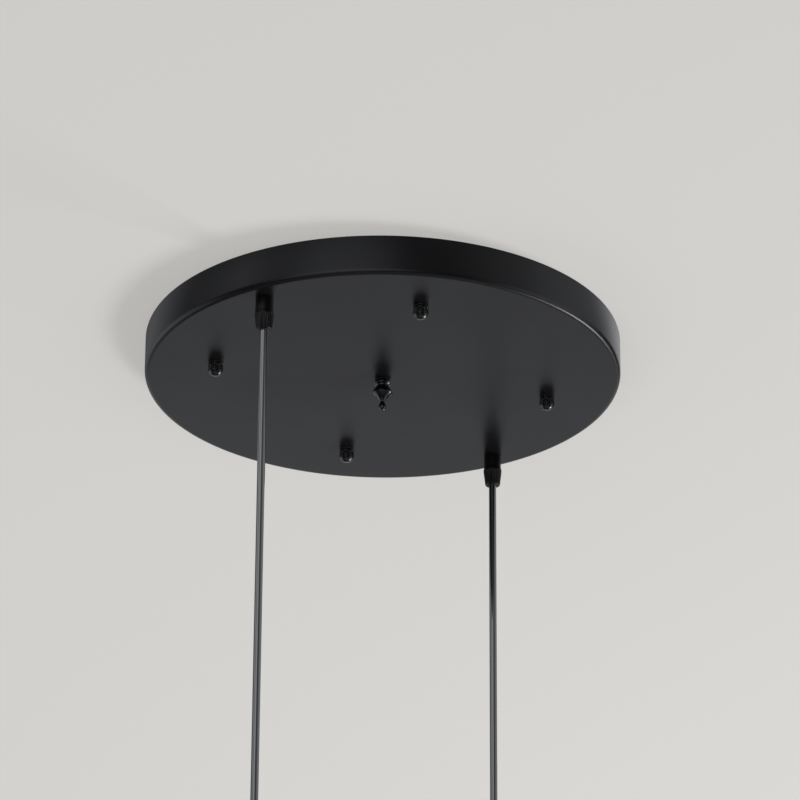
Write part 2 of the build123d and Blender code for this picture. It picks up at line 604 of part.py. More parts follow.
def terminal_block():
    """The moulded nylon strip with a wire tunnel and two screw towers at each pole."""
    block = Box(BLOCK_DEPTH, BLOCK_LENGTH, BLOCK_BASE_HEIGHT, align=TOP)
    block = fillet(block.edges().filter_by(Axis.Z), BLOCK_CORNER_RADIUS)
    block = Pos(BLOCK_CENTRE_X, BLOCK_CENTRE_Y, BAR_FOOT_BOTTOM) * block
    towers = []
    for y in block_poles():
        hump = Box(BLOCK_DEPTH, BLOCK_POLE_WIDTH, BLOCK_POLE_HEIGHT, align=TOP)
        hump = fillet(hump.edges().filter_by(Axis.X).group_by(Axis.Z)[0], BLOCK_POLE_ROUND)
        block += Pos(BLOCK_CENTRE_X, y, BAR_FOOT_BOTTOM) * hump
        towers += [Pos(BLOCK_CENTRE_X + way * BLOCK_TOWER_SPACING / 2, y, 0) for way in (-1, 1)]
    base, face = BAR_FOOT_BOTTOM - BLOCK_BASE_HEIGHT, BAR_FOOT_BOTTOM - BLOCK_HEIGHT
    tower = rod(BLOCK_TOWER_DIAMETER, base, face)
    well = rod(TERMINAL_SCREW_HEAD_DIAMETER + 2 * HOLE_CLEARANCE, BLOCK_TUNNEL, face)
    block += [place * tower for place in towers]
    block -= [place * well for place in towers]
    tunnel = Rot(0, 90, 0) * Cylinder(BARREL_DIAMETER / 2 + SEATED_CLEARANCE, BLOCK_DEPTH)
    block -= [Pos(BLOCK_CENTRE_X, y, BLOCK_TUNNEL) * tunnel for y in block_poles()]
    hole = rod(BLOCK_SCREW_DIAMETER + 2 * HOLE_CLEARANCE, BAR_FOOT_BOTTOM, face)
    hole += rod(BLOCK_SCREW_HEAD_DIAMETER + 2 * HOLE_CLEARANCE, base, face)
    return block - Pos(BLOCK_CENTRE_X, BLOCK_SCREW_Y, 0) * hole


def terminal_barrels():
    """The brass barrels, each with a bore for the wires and two cross holes for its screws."""
    barrel = Rot(0, 90, 0) * Cylinder(BARREL_DIAMETER / 2, BARREL_LENGTH)
    barrel -= Rot(0, 90, 0) * Cylinder(BARREL_BORE_DIAMETER / 2, BARREL_LENGTH)
    cross_hole = rod(TERMINAL_SCREW_DIAMETER + 2 * SEATED_CLEARANCE, 0, -BARREL_DIAMETER)
    for way in (-1, 1):
        barrel -= Pos(way * BLOCK_TOWER_SPACING / 2, 0, 0) * cross_hole
    return Compound(children=[Pos(BLOCK_CENTRE_X, y, BLOCK_TUNNEL) * barrel for y in block_poles()])


def terminal_screws():
    """The slotted screws that clamp the wires, driven from below."""
    tip = BLOCK_TUNNEL - TERMINAL_SCREW_TIP_GAP
    head_bottom = BAR_FOOT_BOTTOM - BLOCK_HEIGHT + TERMINAL_SCREW_HEAD_INSET
    screw = rod(TERMINAL_SCREW_DIAMETER, tip, head_bottom)
    screw += rod(TERMINAL_SCREW_HEAD_DIAMETER, head_bottom + TERMINAL_SCREW_HEAD_HEIGHT, head_bottom)
    slot = Box(TERMINAL_SCREW_HEAD_DIAMETER, SMALL_SLOT_WIDTH, SMALL_SLOT_DEPTH, align=BOTTOM)
    screw -= Pos(0, 0, head_bottom) * slot
    placed = []
    for y in block_poles():
        for way in (-1, 1):
            placed.append(Pos(BLOCK_CENTRE_X + way * BLOCK_TOWER_SPACING / 2, y, 0) * screw)
    return Compound(children=placed)


def block_screw():
    """The screw that holds the block to the bracket's lug, its head between two poles."""
    head_top = BAR_FOOT_BOTTOM - BLOCK_BASE_HEIGHT
    head = rod(BLOCK_SCREW_HEAD_DIAMETER, head_top, head_top - BLOCK_SCREW_HEAD_HEIGHT)
    recess = Box(BLOCK_SCREW_RECESS_LENGTH, BLOCK_SCREW_RECESS_WIDTH, BLOCK_SCREW_RECESS_DEPTH, align=BOTTOM)
    head -= Pos(0, 0, head_top - BLOCK_SCREW_HEAD_HEIGHT) * (recess + Rot(0, 0, 90) * recess)
    screw = head + rod(BLOCK_SCREW_DIAMETER, 0, head_top)
    return Pos(BLOCK_CENTRE_X, BLOCK_SCREW_Y, 0) * screw


# Earth connection


def earth_crimp_level():
    """The level of the crimp's axis, whose top is level with the ring's."""
    return BAR_FOOT_BOTTOM - EARTH_CRIMP_DIAMETER / 2


def earth_ring():
    """The ring terminal under the bar, with its tongue and crimped barrel."""
    ring = rod(EARTH_RING_DIAMETER, BAR_FOOT_BOTTOM, BAR_FOOT_BOTTOM - EARTH_RING_THICKNESS)
    tongue = Box(EARTH_CRIMP_DIAMETER, EARTH_CRIMP_START + EARTH_RING_THICKNESS, EARTH_RING_THICKNESS,
                 align=(Align.CENTER, Align.MAX, Align.MAX))
    tongue = Pos(0, 0, BAR_FOOT_BOTTOM) * tongue
    crimp = Pos(0, -EARTH_CRIMP_START, earth_crimp_level()) * Rot(90, 0, 0) * (
        Cylinder(EARTH_CRIMP_DIAMETER / 2, EARTH_CRIMP_LENGTH, align=BOTTOM))
    ring = ring + tongue + crimp
    ring -= rod(SCREW_DIAMETER + 2 * HOLE_CLEARANCE, BAR_FOOT_BOTTOM, BAR_FOOT_BOTTOM - EARTH_RING_THICKNESS)
    wire_way = Pos(0, -EARTH_CRIMP_START - EARTH_CRIMP_LENGTH / 2, earth_crimp_level()) * Rot(90, 0, 0) * (
        Cylinder(WIRE_DIAMETER / 2 + SEATED_CLEARANCE, EARTH_CRIMP_LENGTH, align=BOTTOM))
    return Pos(EARTH_PLACE, 0, 0) * (ring - wire_way)


def earth_washer():
    """The spring washer under the earth screw's head, cut through and slightly open."""
    top = BAR_FOOT_BOTTOM - EARTH_RING_THICKNESS
    ring = washer(EARTH_WASHER_DIAMETER, EARTH_WASHER_THICKNESS, SCREW_DIAMETER + 2 * HOLE_CLEARANCE, top)
    cut = Box(EARTH_WASHER_DIAMETER, EARTH_WASHER_CUT, EARTH_WASHER_THICKNESS,
              align=(Align.MIN, Align.CENTER, Align.MAX))
    return Pos(EARTH_PLACE, 0, 0) * (ring - Pos(0, 0, top) * cut)


def earth_screw():
    """The earth screw, driven up into the bar from below."""
    head_top = BAR_FOOT_BOTTOM - EARTH_RING_THICKNESS - EARTH_WASHER_THICKNESS
    head = rod(SCREW_HEAD_DIAMETER, head_top, head_top - SCREW_HEAD_HEIGHT)
    head = fillet(head.edges().group_by(Axis.Z)[0], SCREW_HEAD_ROUND)
    recess = Box(SCREW_RECESS_LENGTH, SCREW_RECESS_WIDTH, SCREW_RECESS_DEPTH, align=BOTTOM)
    head -= Pos(0, 0, head_top - SCREW_HEAD_HEIGHT) * (recess + Rot(0, 0, 90) * recess)
    return Pos(EARTH_PLACE, 0, 0) * (head + rod(SCREW_DIAMETER, head_top + EARTH_SCREW_LENGTH, head_top))


# Lamp holders


def holder_gland():
    """The cord clamp on top of the lamp holder, with its side screw."""
    bottom = HOLDER_TOP_LEVEL - HOLDER_GLAND_HEIGHT
    gland = rod(HOLDER_GLAND_DIAMETER, HOLDER_TOP_LEVEL, bottom)
    gland = chamfer(gland.edges().group_by(Axis.Z)[-1], HOLDER_GLAND_CHAMFER)
    gland -= rod(CORD_DIAMETER + 2 * SEATED_CLEARANCE, HOLDER_TOP_LEVEL, bottom)
    way = Pos(0, 0, HOLDER_TOP_LEVEL - HOLDER_GLAND_SCREW_DROP) * Rot(0, 90, 0) * Cylinder(
        HOLDER_GLAND_SCREW_DIAMETER / 2 + SEATED_CLEARANCE, HOLDER_GLAND_DIAMETER, align=BOTTOM)
    return gland - way


def holder_gland_screw():
    """The small screw in the clamp's side, which presses on the cord."""
    inner = CORD_RADIUS + SEATED_CLEARANCE
    length = HOLDER_GLAND_DIAMETER / 2 - inner + HOLDER_GLAND_SCREW_PROUD
    screw = Cylinder(HOLDER_GLAND_SCREW_DIAMETER / 2, length, align=BOTTOM)
    slot = Pos(0, 0, length) * Box(SMALL_SLOT_WIDTH, HOLDER_GLAND_SCREW_DIAMETER, SMALL_SLOT_DEPTH, align=TOP)
    return Pos(inner, 0, HOLDER_TOP_LEVEL - HOLDER_GLAND_SCREW_DROP) * Rot(0, 90, 0) * (screw - slot)


def dome_outline(radius, shoulder, top, bottom):
    """Half of a domed cap's outline, from its flat top to its straight rim."""
    rim_top = bottom + (top - bottom) * HOLDER_RIM_SHARE
    width, height = radius - shoulder, top - rim_top
    sweep_radius = (width**2 + height**2) / (2 * width)
    half_angle = math.atan2(height, sweep_radius - width) / 2
    halfway = (radius - sweep_radius * (1 - math.cos(half_angle)),
               rim_top + sweep_radius * math.sin(half_angle))
    flat = Polyline((0, bottom), (0, top), (shoulder, top))
    arch = ThreePointArc((shoulder, top), halfway, (radius, rim_top))
    return flat + arch + Polyline((radius, rim_top), (radius, bottom), (0, bottom))


def holder_cap():
    """The domed upper half of the lamp holder."""
    radius, shoulder = HOLDER_DIAMETER / 2, HOLDER_SHOULDER_DIAMETER / 2
    ceiling = HOLDER_CAP_TOP - HOLDER_WALL
    cap = turned(dome_outline(radius, shoulder, HOLDER_CAP_TOP, HOLDER_CAP_BOTTOM))
    cap -= turned(dome_outline(radius - HOLDER_WALL, shoulder, ceiling, HOLDER_CAP_BOTTOM))
    return cap - rod(HOLDER_GLAND_DIAMETER + 2 * SEATED_CLEARANCE, HOLDER_CAP_TOP, HOLDER_CAP_BOTTOM)


def holder_skirt():
    """The ribbed lower half of the lamp holder, with the bore that takes the lamp's thread."""
    radius = HOLDER_SKIRT_DIAMETER / 2
    collar_bottom = HOLDER_CAP_BOTTOM - HOLDER_COLLAR_HEIGHT
    waist = radius - HOLDER_COLLAR_STEP
    foot = waist - HOLDER_TAPER
    skirt = turned(Polyline(
        (0, HOLDER_CAP_BOTTOM), (radius - HOLDER_EDGE_CHAMFER, HOLDER_CAP_BOTTOM),
        (radius, HOLDER_CAP_BOTTOM - HOLDER_EDGE_CHAMFER), (radius, collar_bottom),
        (waist, collar_bottom - HOLDER_COLLAR_STEP), (foot, HOLDER_BOTTOM + HOLDER_FOOT_CHAMFER),
        (foot - HOLDER_FOOT_CHAMFER, HOLDER_BOTTOM), (0, HOLDER_BOTTOM), close=True))
    skirt -= rod(HOLDER_MOUTH_DIAMETER, HOLDER_BOTTOM + HOLDER_MOUTH_DEPTH, HOLDER_BOTTOM)
    skirt -= rod(HOLDER_BORE_DIAMETER, HOLDER_THREAD_TOP, HOLDER_BOTTOM)
    skirt -= rod(HOLDER_CHAMBER_DIAMETER, HOLDER_CORE_BOTTOM, HOLDER_THREAD_TOP)
    skirt -= rod(HOLDER_CORE_DIAMETER + 2 * SEATED_CLEARANCE, HOLDER_CAP_BOTTOM, HOLDER_CORE_BOTTOM)
    rib_top = collar_bottom - HOLDER_COLLAR_STEP - HOLDER_RIB_DROP
    groove = Box(2 * HOLDER_RIB_DEPTH, HOLDER_RIB_WIDTH, HOLDER_RIB_LENGTH, align=TOP)
    return skirt - round_pattern(HOLDER_RIB_COUNT, Pos(waist, 0, rib_top) * groove)


def holder_core():
    """The insulating disc that carries the contacts, seated in the skirt's upper end."""
    core = rod(HOLDER_CORE_DIAMETER, HOLDER_CORE_BOTTOM + HOLDER_CORE_HEIGHT, HOLDER_CORE_BOTTOM)
    slot = Box(HOLDER_CONTACT_SLOT_LENGTH, HOLDER_CONTACT_WIDTH + 2 * HOLDER_CONTACT_GAP,
               HOLDER_CONTACT_SLOT_DEPTH, align=BOTTOM)
    return core - Pos(0, 0, HOLDER_CORE_BOTTOM) * slot


def holder_contact():
    """The springy brass tongue that meets the lamp's foot."""
    top = HOLDER_CORE_BOTTOM + HOLDER_CONTACT_SLOT_DEPTH
    low = top - HOLDER_CONTACT_DROP
    foot_end = HOLDER_CONTACT_START + HOLDER_CONTACT_FOOT
    tip_start = foot_end + HOLDER_CONTACT_SLOPE
    line = FilletPolyline((HOLDER_CONTACT_START, top), (foot_end, top), (tip_start, low),
                          (tip_start + HOLDER_CONTACT_TIP, low), radius=HOLDER_CONTACT_BEND)
    side = make_face(offset(line, HOLDER_CONTACT_THICKNESS, side=Side.RIGHT))
    return extrude(Plane.XZ * side, HOLDER_CONTACT_WIDTH / 2, both=True)


# Every piece in its place, written one file to a piece

fixed_pieces = {
    "canopy_pan": canopy_pan,
    "bracket_bar_x": bracket_bar_x,
    "bracket_bar_y": bracket_bar_y,
    "fixing_screws": fixing_screws,
    "lock_nuts": lock_nuts,
    "finial": finial,
    "terminal_block": terminal_block,
    "terminal_barrels": terminal_barrels,
    "terminal_screws": terminal_screws,
    "block_screw": block_screw,
    "earth_ring": earth_ring,
    "earth_washer": earth_washer,
    "earth_screw": earth_screw,
    "earth_wire": earth_wire,
}
pieces = {name: make() for name, make in fixed_pieces.items()}
pieces["finial_washer"] = thin_washer(FINIAL_BASE_DIAMETER - 2 * LOOSE_GAP)

nut, nut_washer = cap_nut(), thin_washer(CAP_WASHER_DIAMETER)
for where, angle in FIXING_ANGLES.items():
    place = at_angle(angle, FIXING_CIRCLE_RADIUS)
    pieces[f"cap_nut_{where}"] = place * nut
    pieces[f"cap_washer_{where}"] = place * nut_washer

cord_fittings = {
    "grip_body": grip_body(),
    "grip_washer": grip_washer(),
    "grip_lock_nut": grip_lock_nut(),
    "grip_seal": grip_seal(),
    "clamp_nut": clamp_nut(),
    "holder_gland": holder_gland(),
    "holder_gland_screw": holder_gland_screw(),
    "holder_cap": holder_cap(),
    "holder_skirt": holder_skirt(),
    "holder_core": holder_core(),
    "holder_contact": holder_contact(),
}
for side, angle in CORD_ANGLES.items():
    place = at_angle(angle, CORD_CIRCLE_RADIUS)
    for name, fitting in cord_fittings.items():
        pieces[f"{side}_{name}"] = place * fitting
    pieces[f"{side}_cord"] = hanging_cord(side)
    pieces[f"{side}_cord_inside"] = cord_inside(side)
    for colour in ("brown", "blue"):
        pieces[f"{side}_{colour}_wire"] = conductor(side, colour)

os.makedirs("parts", exist_ok=True)
for name, piece in pieces.items():
    export_step(piece, f"parts/{name}.step")
    print(name, round(piece.volume, 1))
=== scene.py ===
"""Dresses a two-light ceiling canopy: a shallow pan, nuts, finial, cord grips, cords and lamp holders."""

from __future__ import annotations

import json
import logging
import math
from dataclasses import dataclass
from enum import Enum

import bmesh
import bpy
from mathutils import Euler, Matrix, Vector

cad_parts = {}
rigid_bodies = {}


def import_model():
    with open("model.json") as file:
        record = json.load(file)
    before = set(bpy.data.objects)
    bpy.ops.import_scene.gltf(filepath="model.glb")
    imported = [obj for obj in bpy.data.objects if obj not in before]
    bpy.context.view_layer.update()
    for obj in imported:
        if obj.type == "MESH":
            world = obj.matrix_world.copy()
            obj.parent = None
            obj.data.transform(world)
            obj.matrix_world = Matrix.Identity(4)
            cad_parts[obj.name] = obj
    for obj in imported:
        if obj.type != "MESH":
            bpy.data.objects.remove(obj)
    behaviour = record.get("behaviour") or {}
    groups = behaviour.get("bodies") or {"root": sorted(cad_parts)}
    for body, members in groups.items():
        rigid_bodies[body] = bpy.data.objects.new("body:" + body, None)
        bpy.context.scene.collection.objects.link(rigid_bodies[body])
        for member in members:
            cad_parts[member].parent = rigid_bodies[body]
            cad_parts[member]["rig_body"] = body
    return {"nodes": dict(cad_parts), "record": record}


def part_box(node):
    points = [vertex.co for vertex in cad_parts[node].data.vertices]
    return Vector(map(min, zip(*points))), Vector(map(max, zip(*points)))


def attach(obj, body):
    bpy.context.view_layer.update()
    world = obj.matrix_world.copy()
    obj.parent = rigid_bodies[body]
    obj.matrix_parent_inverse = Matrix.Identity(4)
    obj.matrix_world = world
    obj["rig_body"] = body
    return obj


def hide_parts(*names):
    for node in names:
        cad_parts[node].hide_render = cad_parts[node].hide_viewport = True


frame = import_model()
log = logging.getLogger("canopy")

MM = 0.001
FULL_TURN = 2 * math.pi
SMOOTH_UP_TO = math.radians(34)
ORIGIN = Vector((0.0, 0.0, 0.0))
QUARTER_BULGE = 1 - math.sqrt(0.5)
SMALL_TURN_STEPS = 64
ROUNDING_STEPS = 3

# How near two places have to be to count as one, in millimetres
ON_RING = 0.01
MERGED = 1e-4
ON_CUT = 1e-5

# A cut thread's depth, half its flat crest and its run beyond each end of the rod, as shares of its pitch
THREAD_DEPTH = 0.6
THREAD_CREST = 0.08
THREAD_RUN_OUT = 1.5


class Side(Enum):
    """The two cords, by the side that they hang on."""

    RIGHT = "right"
    LEFT = "left"


class Corner(Enum):
    """The four cap nuts, by where they stand."""

    RIGHT = "right"
    REAR = "rear"
    LEFT = "left"
    FRONT = "front"


class Pattern(Enum):
    """What a finish shows close up."""

    GRAIN = "grain"
    BRUSHED = "brushed"
    STRIPED = "striped"


def placed(name: str, data: bpy.types.ID) -> bpy.types.Object:
    """Makes an object of its data and links it to the scene."""
    made = bpy.data.objects.new(name, data)
    bpy.context.scene.collection.objects.link(made)
    return made


# Materials


def linear(colour: str) -> tuple[float, float, float, float]:
    """Turns an sRGB hex colour into the linear colour that a shader takes.

    Args:
        colour: Six hex digits after a hash.

    Returns:
        Red, green, blue and an alpha of 1.
    """
    parts = [int(colour[i:i + 2], 16) / 255 for i in (1, 3, 5)]
    red, green, blue = (c / 12.92 if c <= 0.04045 else ((c + 0.055) / 1.055) ** 2.4 for c in parts)
    return red, green, blue, 1.0


def add_node(tree: bpy.types.NodeTree, kind: str, inputs: dict | None = None,
             **settings: object) -> bpy.types.Node:
    """Adds a shader node with its settings and links.

    Args:
        tree: The tree that gets the node.
        kind: Blender's name for the node's type.
        inputs: Input names or numbers, each with a value or another node's output.
        settings: The node's own attributes.

    Returns:
        The new node.
    """
    node = tree.nodes.new(kind)
    for name, value in settings.items():
        setattr(node, name, value)
    for key, value in (inputs or {}).items():
        if isinstance(value, bpy.types.NodeSocket):
            tree.links.new(value, node.inputs[key])
        else:
            node.inputs[key].default_value = value
    return node


def cleared_tree(owner: bpy.types.Material | bpy.types.World) -> bpy.types.NodeTree:
    """Gives the emptied node tree of a material or a world."""
    owner.use_nodes = True
    owner.node_tree.nodes.clear()
    return owner.node_tree


@dataclass(frozen=True)
class Finish:
    """One material: its colours, its gloss and the small pattern of its surface."""

    name: str
    colour: str
    drift_to: str
    roughness: float
    roughness_drift: float = 0.03
    drift_mm: float = 30.0
    drift_detail: float = 3.0
    drift_starts: float = 0.3
    drift_ends: float = 0.7
    grain_mm: float = 0.6
    grain_height_mm: float = 0.002
    grain_detail: float = 2.0
    brushed_stretch: float = 0.05
    stripe_edge: float = 0.55
    pattern: Pattern = Pattern.GRAIN
    metallic: float = 0.0
    ior: float = 1.5
    specular: float = 0.5
    coat: float = 0.0
    coat_roughness: float = 0.06
    subsurface: float = 0.6
    subsurface_mm: float = 0.0

    def material(self) -> bpy.types.Material:
        """Makes the material.

        Returns:
            The new material, with a procedural surface.
        """
        made = bpy.data.materials.new(self.name)
        tree = cleared_tree(made)
        place = add_node(tree, "ShaderNodeTexCoord").outputs["Object"]
        share = self._share(tree, place)
        # The mix node's colours are its inputs 6 and 7 and its output 2
        colour = add_node(tree, "ShaderNodeMix", {
            "Factor": share, 6: linear(self.colour), 7: linear(self.drift_to)}, data_type="RGBA").outputs[2]
        roughness = add_node(tree, "ShaderNodeMapRange", {
            "Value": share, "To Min": self.roughness - self.roughness_drift,
            "To Max": self.roughness + self.roughness_drift}).outputs["Result"]
        inputs = {"Base Color": colour, "Roughness": roughness, "Metallic": self.metallic,
                  "Normal": self._bump(tree, place), "Coat Weight": self.coat,
                  "Coat Roughness": self.coat_roughness, "Specular IOR Level": self.specular}
        if not self.metallic:
            inputs["IOR"] = self.ior
        shader = add_node(tree, "ShaderNodeBsdfPrincipled", inputs)
        if self.subsurface_mm:
            shader.inputs["Subsurface Weight"].default_value = self.subsurface
            shader.inputs["Subsurface Scale"].default_value = self.subsurface_mm * MM
        add_node(tree, "ShaderNodeOutputMaterial", {"Surface": shader.outputs["BSDF"]})
        return made

    def _share(self, tree: bpy.types.NodeTree, place: bpy.types.NodeSocket) -> bpy.types.NodeSocket:
        """Gives how far the surface has drifted to its second colour, from 0 to 1, at each place.

        Args:
            tree: The material's nodes.
            place: The object coordinates.

        Returns:
            The output that holds the share.
        """
        if self.pattern is Pattern.STRIPED:
            normal = add_node(tree, "ShaderNodeTexCoord").outputs["Normal"]
            upright = add_node(tree, "ShaderNodeSeparateXYZ", {"Vector": normal}).outputs["Z"]
            flat = add_node(tree, "ShaderNodeMath", {0: upright}, operation="ABSOLUTE").outputs["Value"]
            return add_node(tree, "ShaderNodeMath", {
                0: flat, 1: self.stripe_edge}, operation="LESS_THAN").outputs["Value"]
        noise = add_node(tree, "ShaderNodeTexNoise", {
            "Vector": place, "Scale": 1 / (self.drift_mm * MM), "Detail": self.drift_detail})
        return add_node(tree, "ShaderNodeMapRange", {
            "Value": noise.outputs["Fac"], "From Min": self.drift_starts,
            "From Max": self.drift_ends}).outputs["Result"]

    def _bump(self, tree: bpy.types.NodeTree, place: bpy.types.NodeSocket) -> bpy.types.NodeSocket:
        """Gives the surface's small relief.

        Args:
            tree: The material's nodes.
            place: The object coordinates.

        Returns:
            The output that holds the bent normal.
        """
        along = self.brushed_stretch if self.pattern is Pattern.BRUSHED else 1.0
        stretched = add_node(tree, "ShaderNodeMapping", {
            "Vector": place, "Scale": (along, 1.0, 1.0)}).outputs["Vector"]
        noise = add_node(tree, "ShaderNodeTexNoise", {
            "Vector": stretched, "Scale": 1 / (self.grain_mm * MM), "Detail": self.grain_detail})
        return add_node(tree, "ShaderNodeBump", {
            "Height": noise.outputs["Fac"], "Distance": self.grain_height_mm * MM}).outputs["Normal"]


# Each finish stands under the name of the record's material slot that it dresses
FINISHES: dict[str, Finish] = {
    # Polyester powder coat on steel: satin, with a faint orange peel
    "satin_black_paint": Finish("powder_coat_satin_black", "#0c0c0e", "#0e0e10", 0.34, grain_mm=1.6,
                                grain_height_mm=0.004, drift_mm=60.0, specular=0.25),
    # Baked enamel on turned steel: deep black and glossy
    "gloss_black_enamel": Finish("enamel_gloss_black", "#0a0a0b", "#0d0d0e", 0.24, grain_mm=2.0,
                                 specular=0.4),
    # Vulcanised fibre, punched from sheet: dull and a little mottled
    "black_fibre": Finish("vulcanised_fibre_black", "#1b1b1b", "#242322", 0.6, grain_mm=0.4,
                          grain_height_mm=0.01),
    # Zinc plate on strip and screws: bright, a little blue, with soft mill lines
    "zinc_plated_steel": Finish("zinc_plated_steel", "#b9bdc2", "#a9a79f", 0.32, roughness_drift=0.07,
                                drift_mm=12.0, grain_mm=0.25, grain_height_mm=0.003,
                                pattern=Pattern.BRUSHED, metallic=1.0),
    # Tin over copper: soft grey metal
    "tinned_copper": Finish("tinned_copper", "#c6c2b6", "#b8a58e", 0.38, drift_mm=2.0, metallic=1.0),
    # Unfilled polyamide: milky, lets a little light in
    "natural_nylon": Finish("polyamide_natural", "#ddd8c8", "#d3cdba", 0.42, drift_mm=8.0,
                            subsurface_mm=1.5),
    # Turned brass, slightly tarnished
    "brass": Finish("turned_brass", "#c9a55a", "#a98443", 0.28, roughness_drift=0.08, drift_mm=3.0,
                    metallic=1.0),
    # Extruded vinyl insulation: smooth and softly glossy, with a stripe on the earth conductor's
    "green_yellow_insulation": Finish("vinyl_green_yellow", "#2f8a3c", "#e0c828", 0.35,
                                      pattern=Pattern.STRIPED),
    "brown_insulation": Finish("vinyl_brown", "#5b3420", "#64391f", 0.35),
    "blue_insulation": Finish("vinyl_blue", "#1f5fa8", "#2568b2", 0.35),
    # Moulded silicone rubber: matt and even
    "black_rubber": Finish("rubber_black", "#161616", "#1c1c1c", 0.55, grain_mm=0.3, grain_height_mm=0.006),
    # Moulded glass-filled polyamide: satin, with a fine spark-eroded grain
    "black_nylon": Finish("polyamide_black", "#08080a", "#0b0b0c", 0.4, grain_mm=0.35, grain_height_mm=0.004,
                          specular=0.22),
    # Extruded vinyl sheath: glossy, with slight waves along its length. Vinyl's index is near 1.5, and 2.1
    # gives the bright lines that the photograph's cords show
    "black_cord_sheath": Finish("vinyl_sheath_black", "#09090a", "#0c0c0d", 0.06, grain_mm=9.0,
                                roughness_drift=0.01, grain_height_mm=0.004, ior=2.1, coat=1.0),
    # Compression-moulded phenolic: black with a soft polish
    "black_moulding": Finish("phenolic_black", "#141415", "#1a1a1b", 0.34, grain_mm=1.0,
                             grain_height_mm=0.003),
    # Glazed steatite: off-white under a thin clear glaze
    "pale_ceramic": Finish("steatite_glazed", "#dcd9cf", "#e4e1d8", 0.22, drift_mm=10.0, coat=0.3),
}


class Finishes:
    """Makes each finish's material once and dresses the frame's nodes with them."""

    def __init__(self) -> None:
        """Makes every material."""
        self.materials = {slot: finish.material() for slot, finish in FINISHES.items()}

    def __getitem__(self, slot: str) -> bpy.types.Material:
        """Gives the material of a slot."""
        return self.materials[slot]

    def dress_nodes(self) -> None:
        """Gives every node of the frame the material of its slot."""
        for part in frame["record"]["subparts"]:
            node = frame["nodes"][part["node"]]
            for slot in node.material_slots:
                slot.material = self.materials[part["material_slot"]]


# Shaping


class Outline:
    """The half outline of a turned piece: a wire in the X-Z plane, drawn point by point in millimetres."""

    def __init__(self, radius: float, level: float) -> None:
        """Starts the wire at a radius and a level."""
        self.mesh = bmesh.new()
        self.tip = self.mesh.verts.new((radius, 0.0, level))

    def line(self, radius: float, level: float) -> Outline:
        """Draws a straight stretch.

        Args:
            radius: The radius that it ends at.
            level: The level that it ends at.

        Returns:
            The outline itself.
        """
        drawn = bmesh.ops.extrude_vert_indiv(self.mesh, verts=[self.tip])
        self.tip = drawn["verts"][0]
        self.tip.co = Vector((radius, 0.0, level))
        return self

    def arc(self, radius: float, level: float, bulge: float, steps: int = 8) -> Outline:
        """Draws a round stretch.

        Args:
            radius: The radius that it ends at.
            level: The level that it ends at.
            bulge: How far its middle stands off its chord, to the left of the way drawn.
            steps: How many short edges it is made of.

        Returns:
            The outline itself.
        """
        start, end = self.tip.co.copy(), Vector((radius, 0.0, level))
        half = (end - start).length / 2
        left = Vector((0.0, -1.0, 0.0)).cross(end - start).normalized()
        reach = (half**2 + bulge**2) / (2 * bulge)
        centre = (start + end) / 2 + left * (bulge - reach)
        turn = 4 * math.atan(bulge / half)
        drawn = bmesh.ops.spin(self.mesh, geom=[self.tip], cent=centre, axis=(0, 1, 0), angle=turn,
                               steps=steps)
        self.tip = drawn["geom_last"][0]
        return self

    def turned(self, steps: int) -> bmesh.types.BMesh:
        """Turns the outline once round the axis.

        Args:
            steps: How many faces go round.

        Returns:
            The turned mesh, in millimetres.
        """
        bmesh.ops.spin(self.mesh, geom=[*self.mesh.verts, *self.mesh.edges], cent=ORIGIN, axis=(0, 0, 1),
                       angle=FULL_TURN, steps=steps, use_merge=True)
        bmesh.ops.remove_doubles(self.mesh, verts=self.mesh.verts, dist=MERGED)
        return self.mesh


def arc_bulge(run: float, sag: float) -> float:
    """Gives how far the middle of an arc stands off its chord.

    Args:
        run: How far the arc gets in the direction that it starts in.
        sag: How far it gets away from that direction.

    Returns:
        The middle's distance from the chord.
    """
    square = run**2 + sag**2
    reach = square / (2 * sag)
    return reach - math.sqrt(reach**2 - square / 4)


def ring_edges(mesh: bmesh.types.BMesh, radius: float, level: float) -> list[bmesh.types.BMEdge]:
    """Finds the edges of a turned mesh's ring.

    Args:
        mesh: The turned mesh, in millimetres.
        radius: The ring's radius.
        level: The ring's level.

    Returns:
        The edges whose two ends lie on the ring.
    """
    def on_ring(vertex: bmesh.types.BMVert) -> bool:
        """Tells whether a vertex lies on the ring."""
        return abs(vertex.co.z - level) < ON_RING and abs(vertex.co.xy.length - radius) < ON_RING

    return [edge for edge in mesh.edges if all(on_ring(v) for v in edge.verts)]


def soften(mesh: bmesh.types.BMesh, radius: float, level: float, width: float) -> None:
    """Rounds a ring's corner.

    Args:
        mesh: The turned mesh, in millimetres.
        radius: The ring's radius.
        level: The ring's level.
        width: How far back from the corner the rounding starts.
    """
    bmesh.ops.bevel(mesh, geom=ring_edges(mesh, radius, level), offset=width, segments=ROUNDING_STEPS,
                    profile=0.5, affect="EDGES", material=-1, offset_type="OFFSET")


def flute(mesh: bmesh.types.BMesh, steps: int, width: int, levels: tuple[float, float], inside: float,
          depth: tuple[float, ...]) -> None:
    """Sinks grooves into the outside of a turned mesh between two levels.

    Args:
        mesh: The turned mesh, in millimetres.
        steps: How many faces go round.
        width: How many faces one groove and its ridge take.
        levels: The lower and the upper level.
        inside: The radius up to which vertices stay.
        depth: How deep each column of vertices lies, from the groove's middle outwards.
    """
    low, high = levels
    for vertex in [v for v in mesh.verts if low < v.co.z < high and v.co.xy.length > inside]:
        place = round(math.atan2(vertex.co.y, vertex.co.x) / FULL_TURN * steps) % width
        column = min(place, width - place)
        if column < len(depth):
            share = 1 - depth[column] / vertex.co.xy.length
            bmesh.ops.scale(mesh, verts=[vertex], vec=(share, share, 1.0))


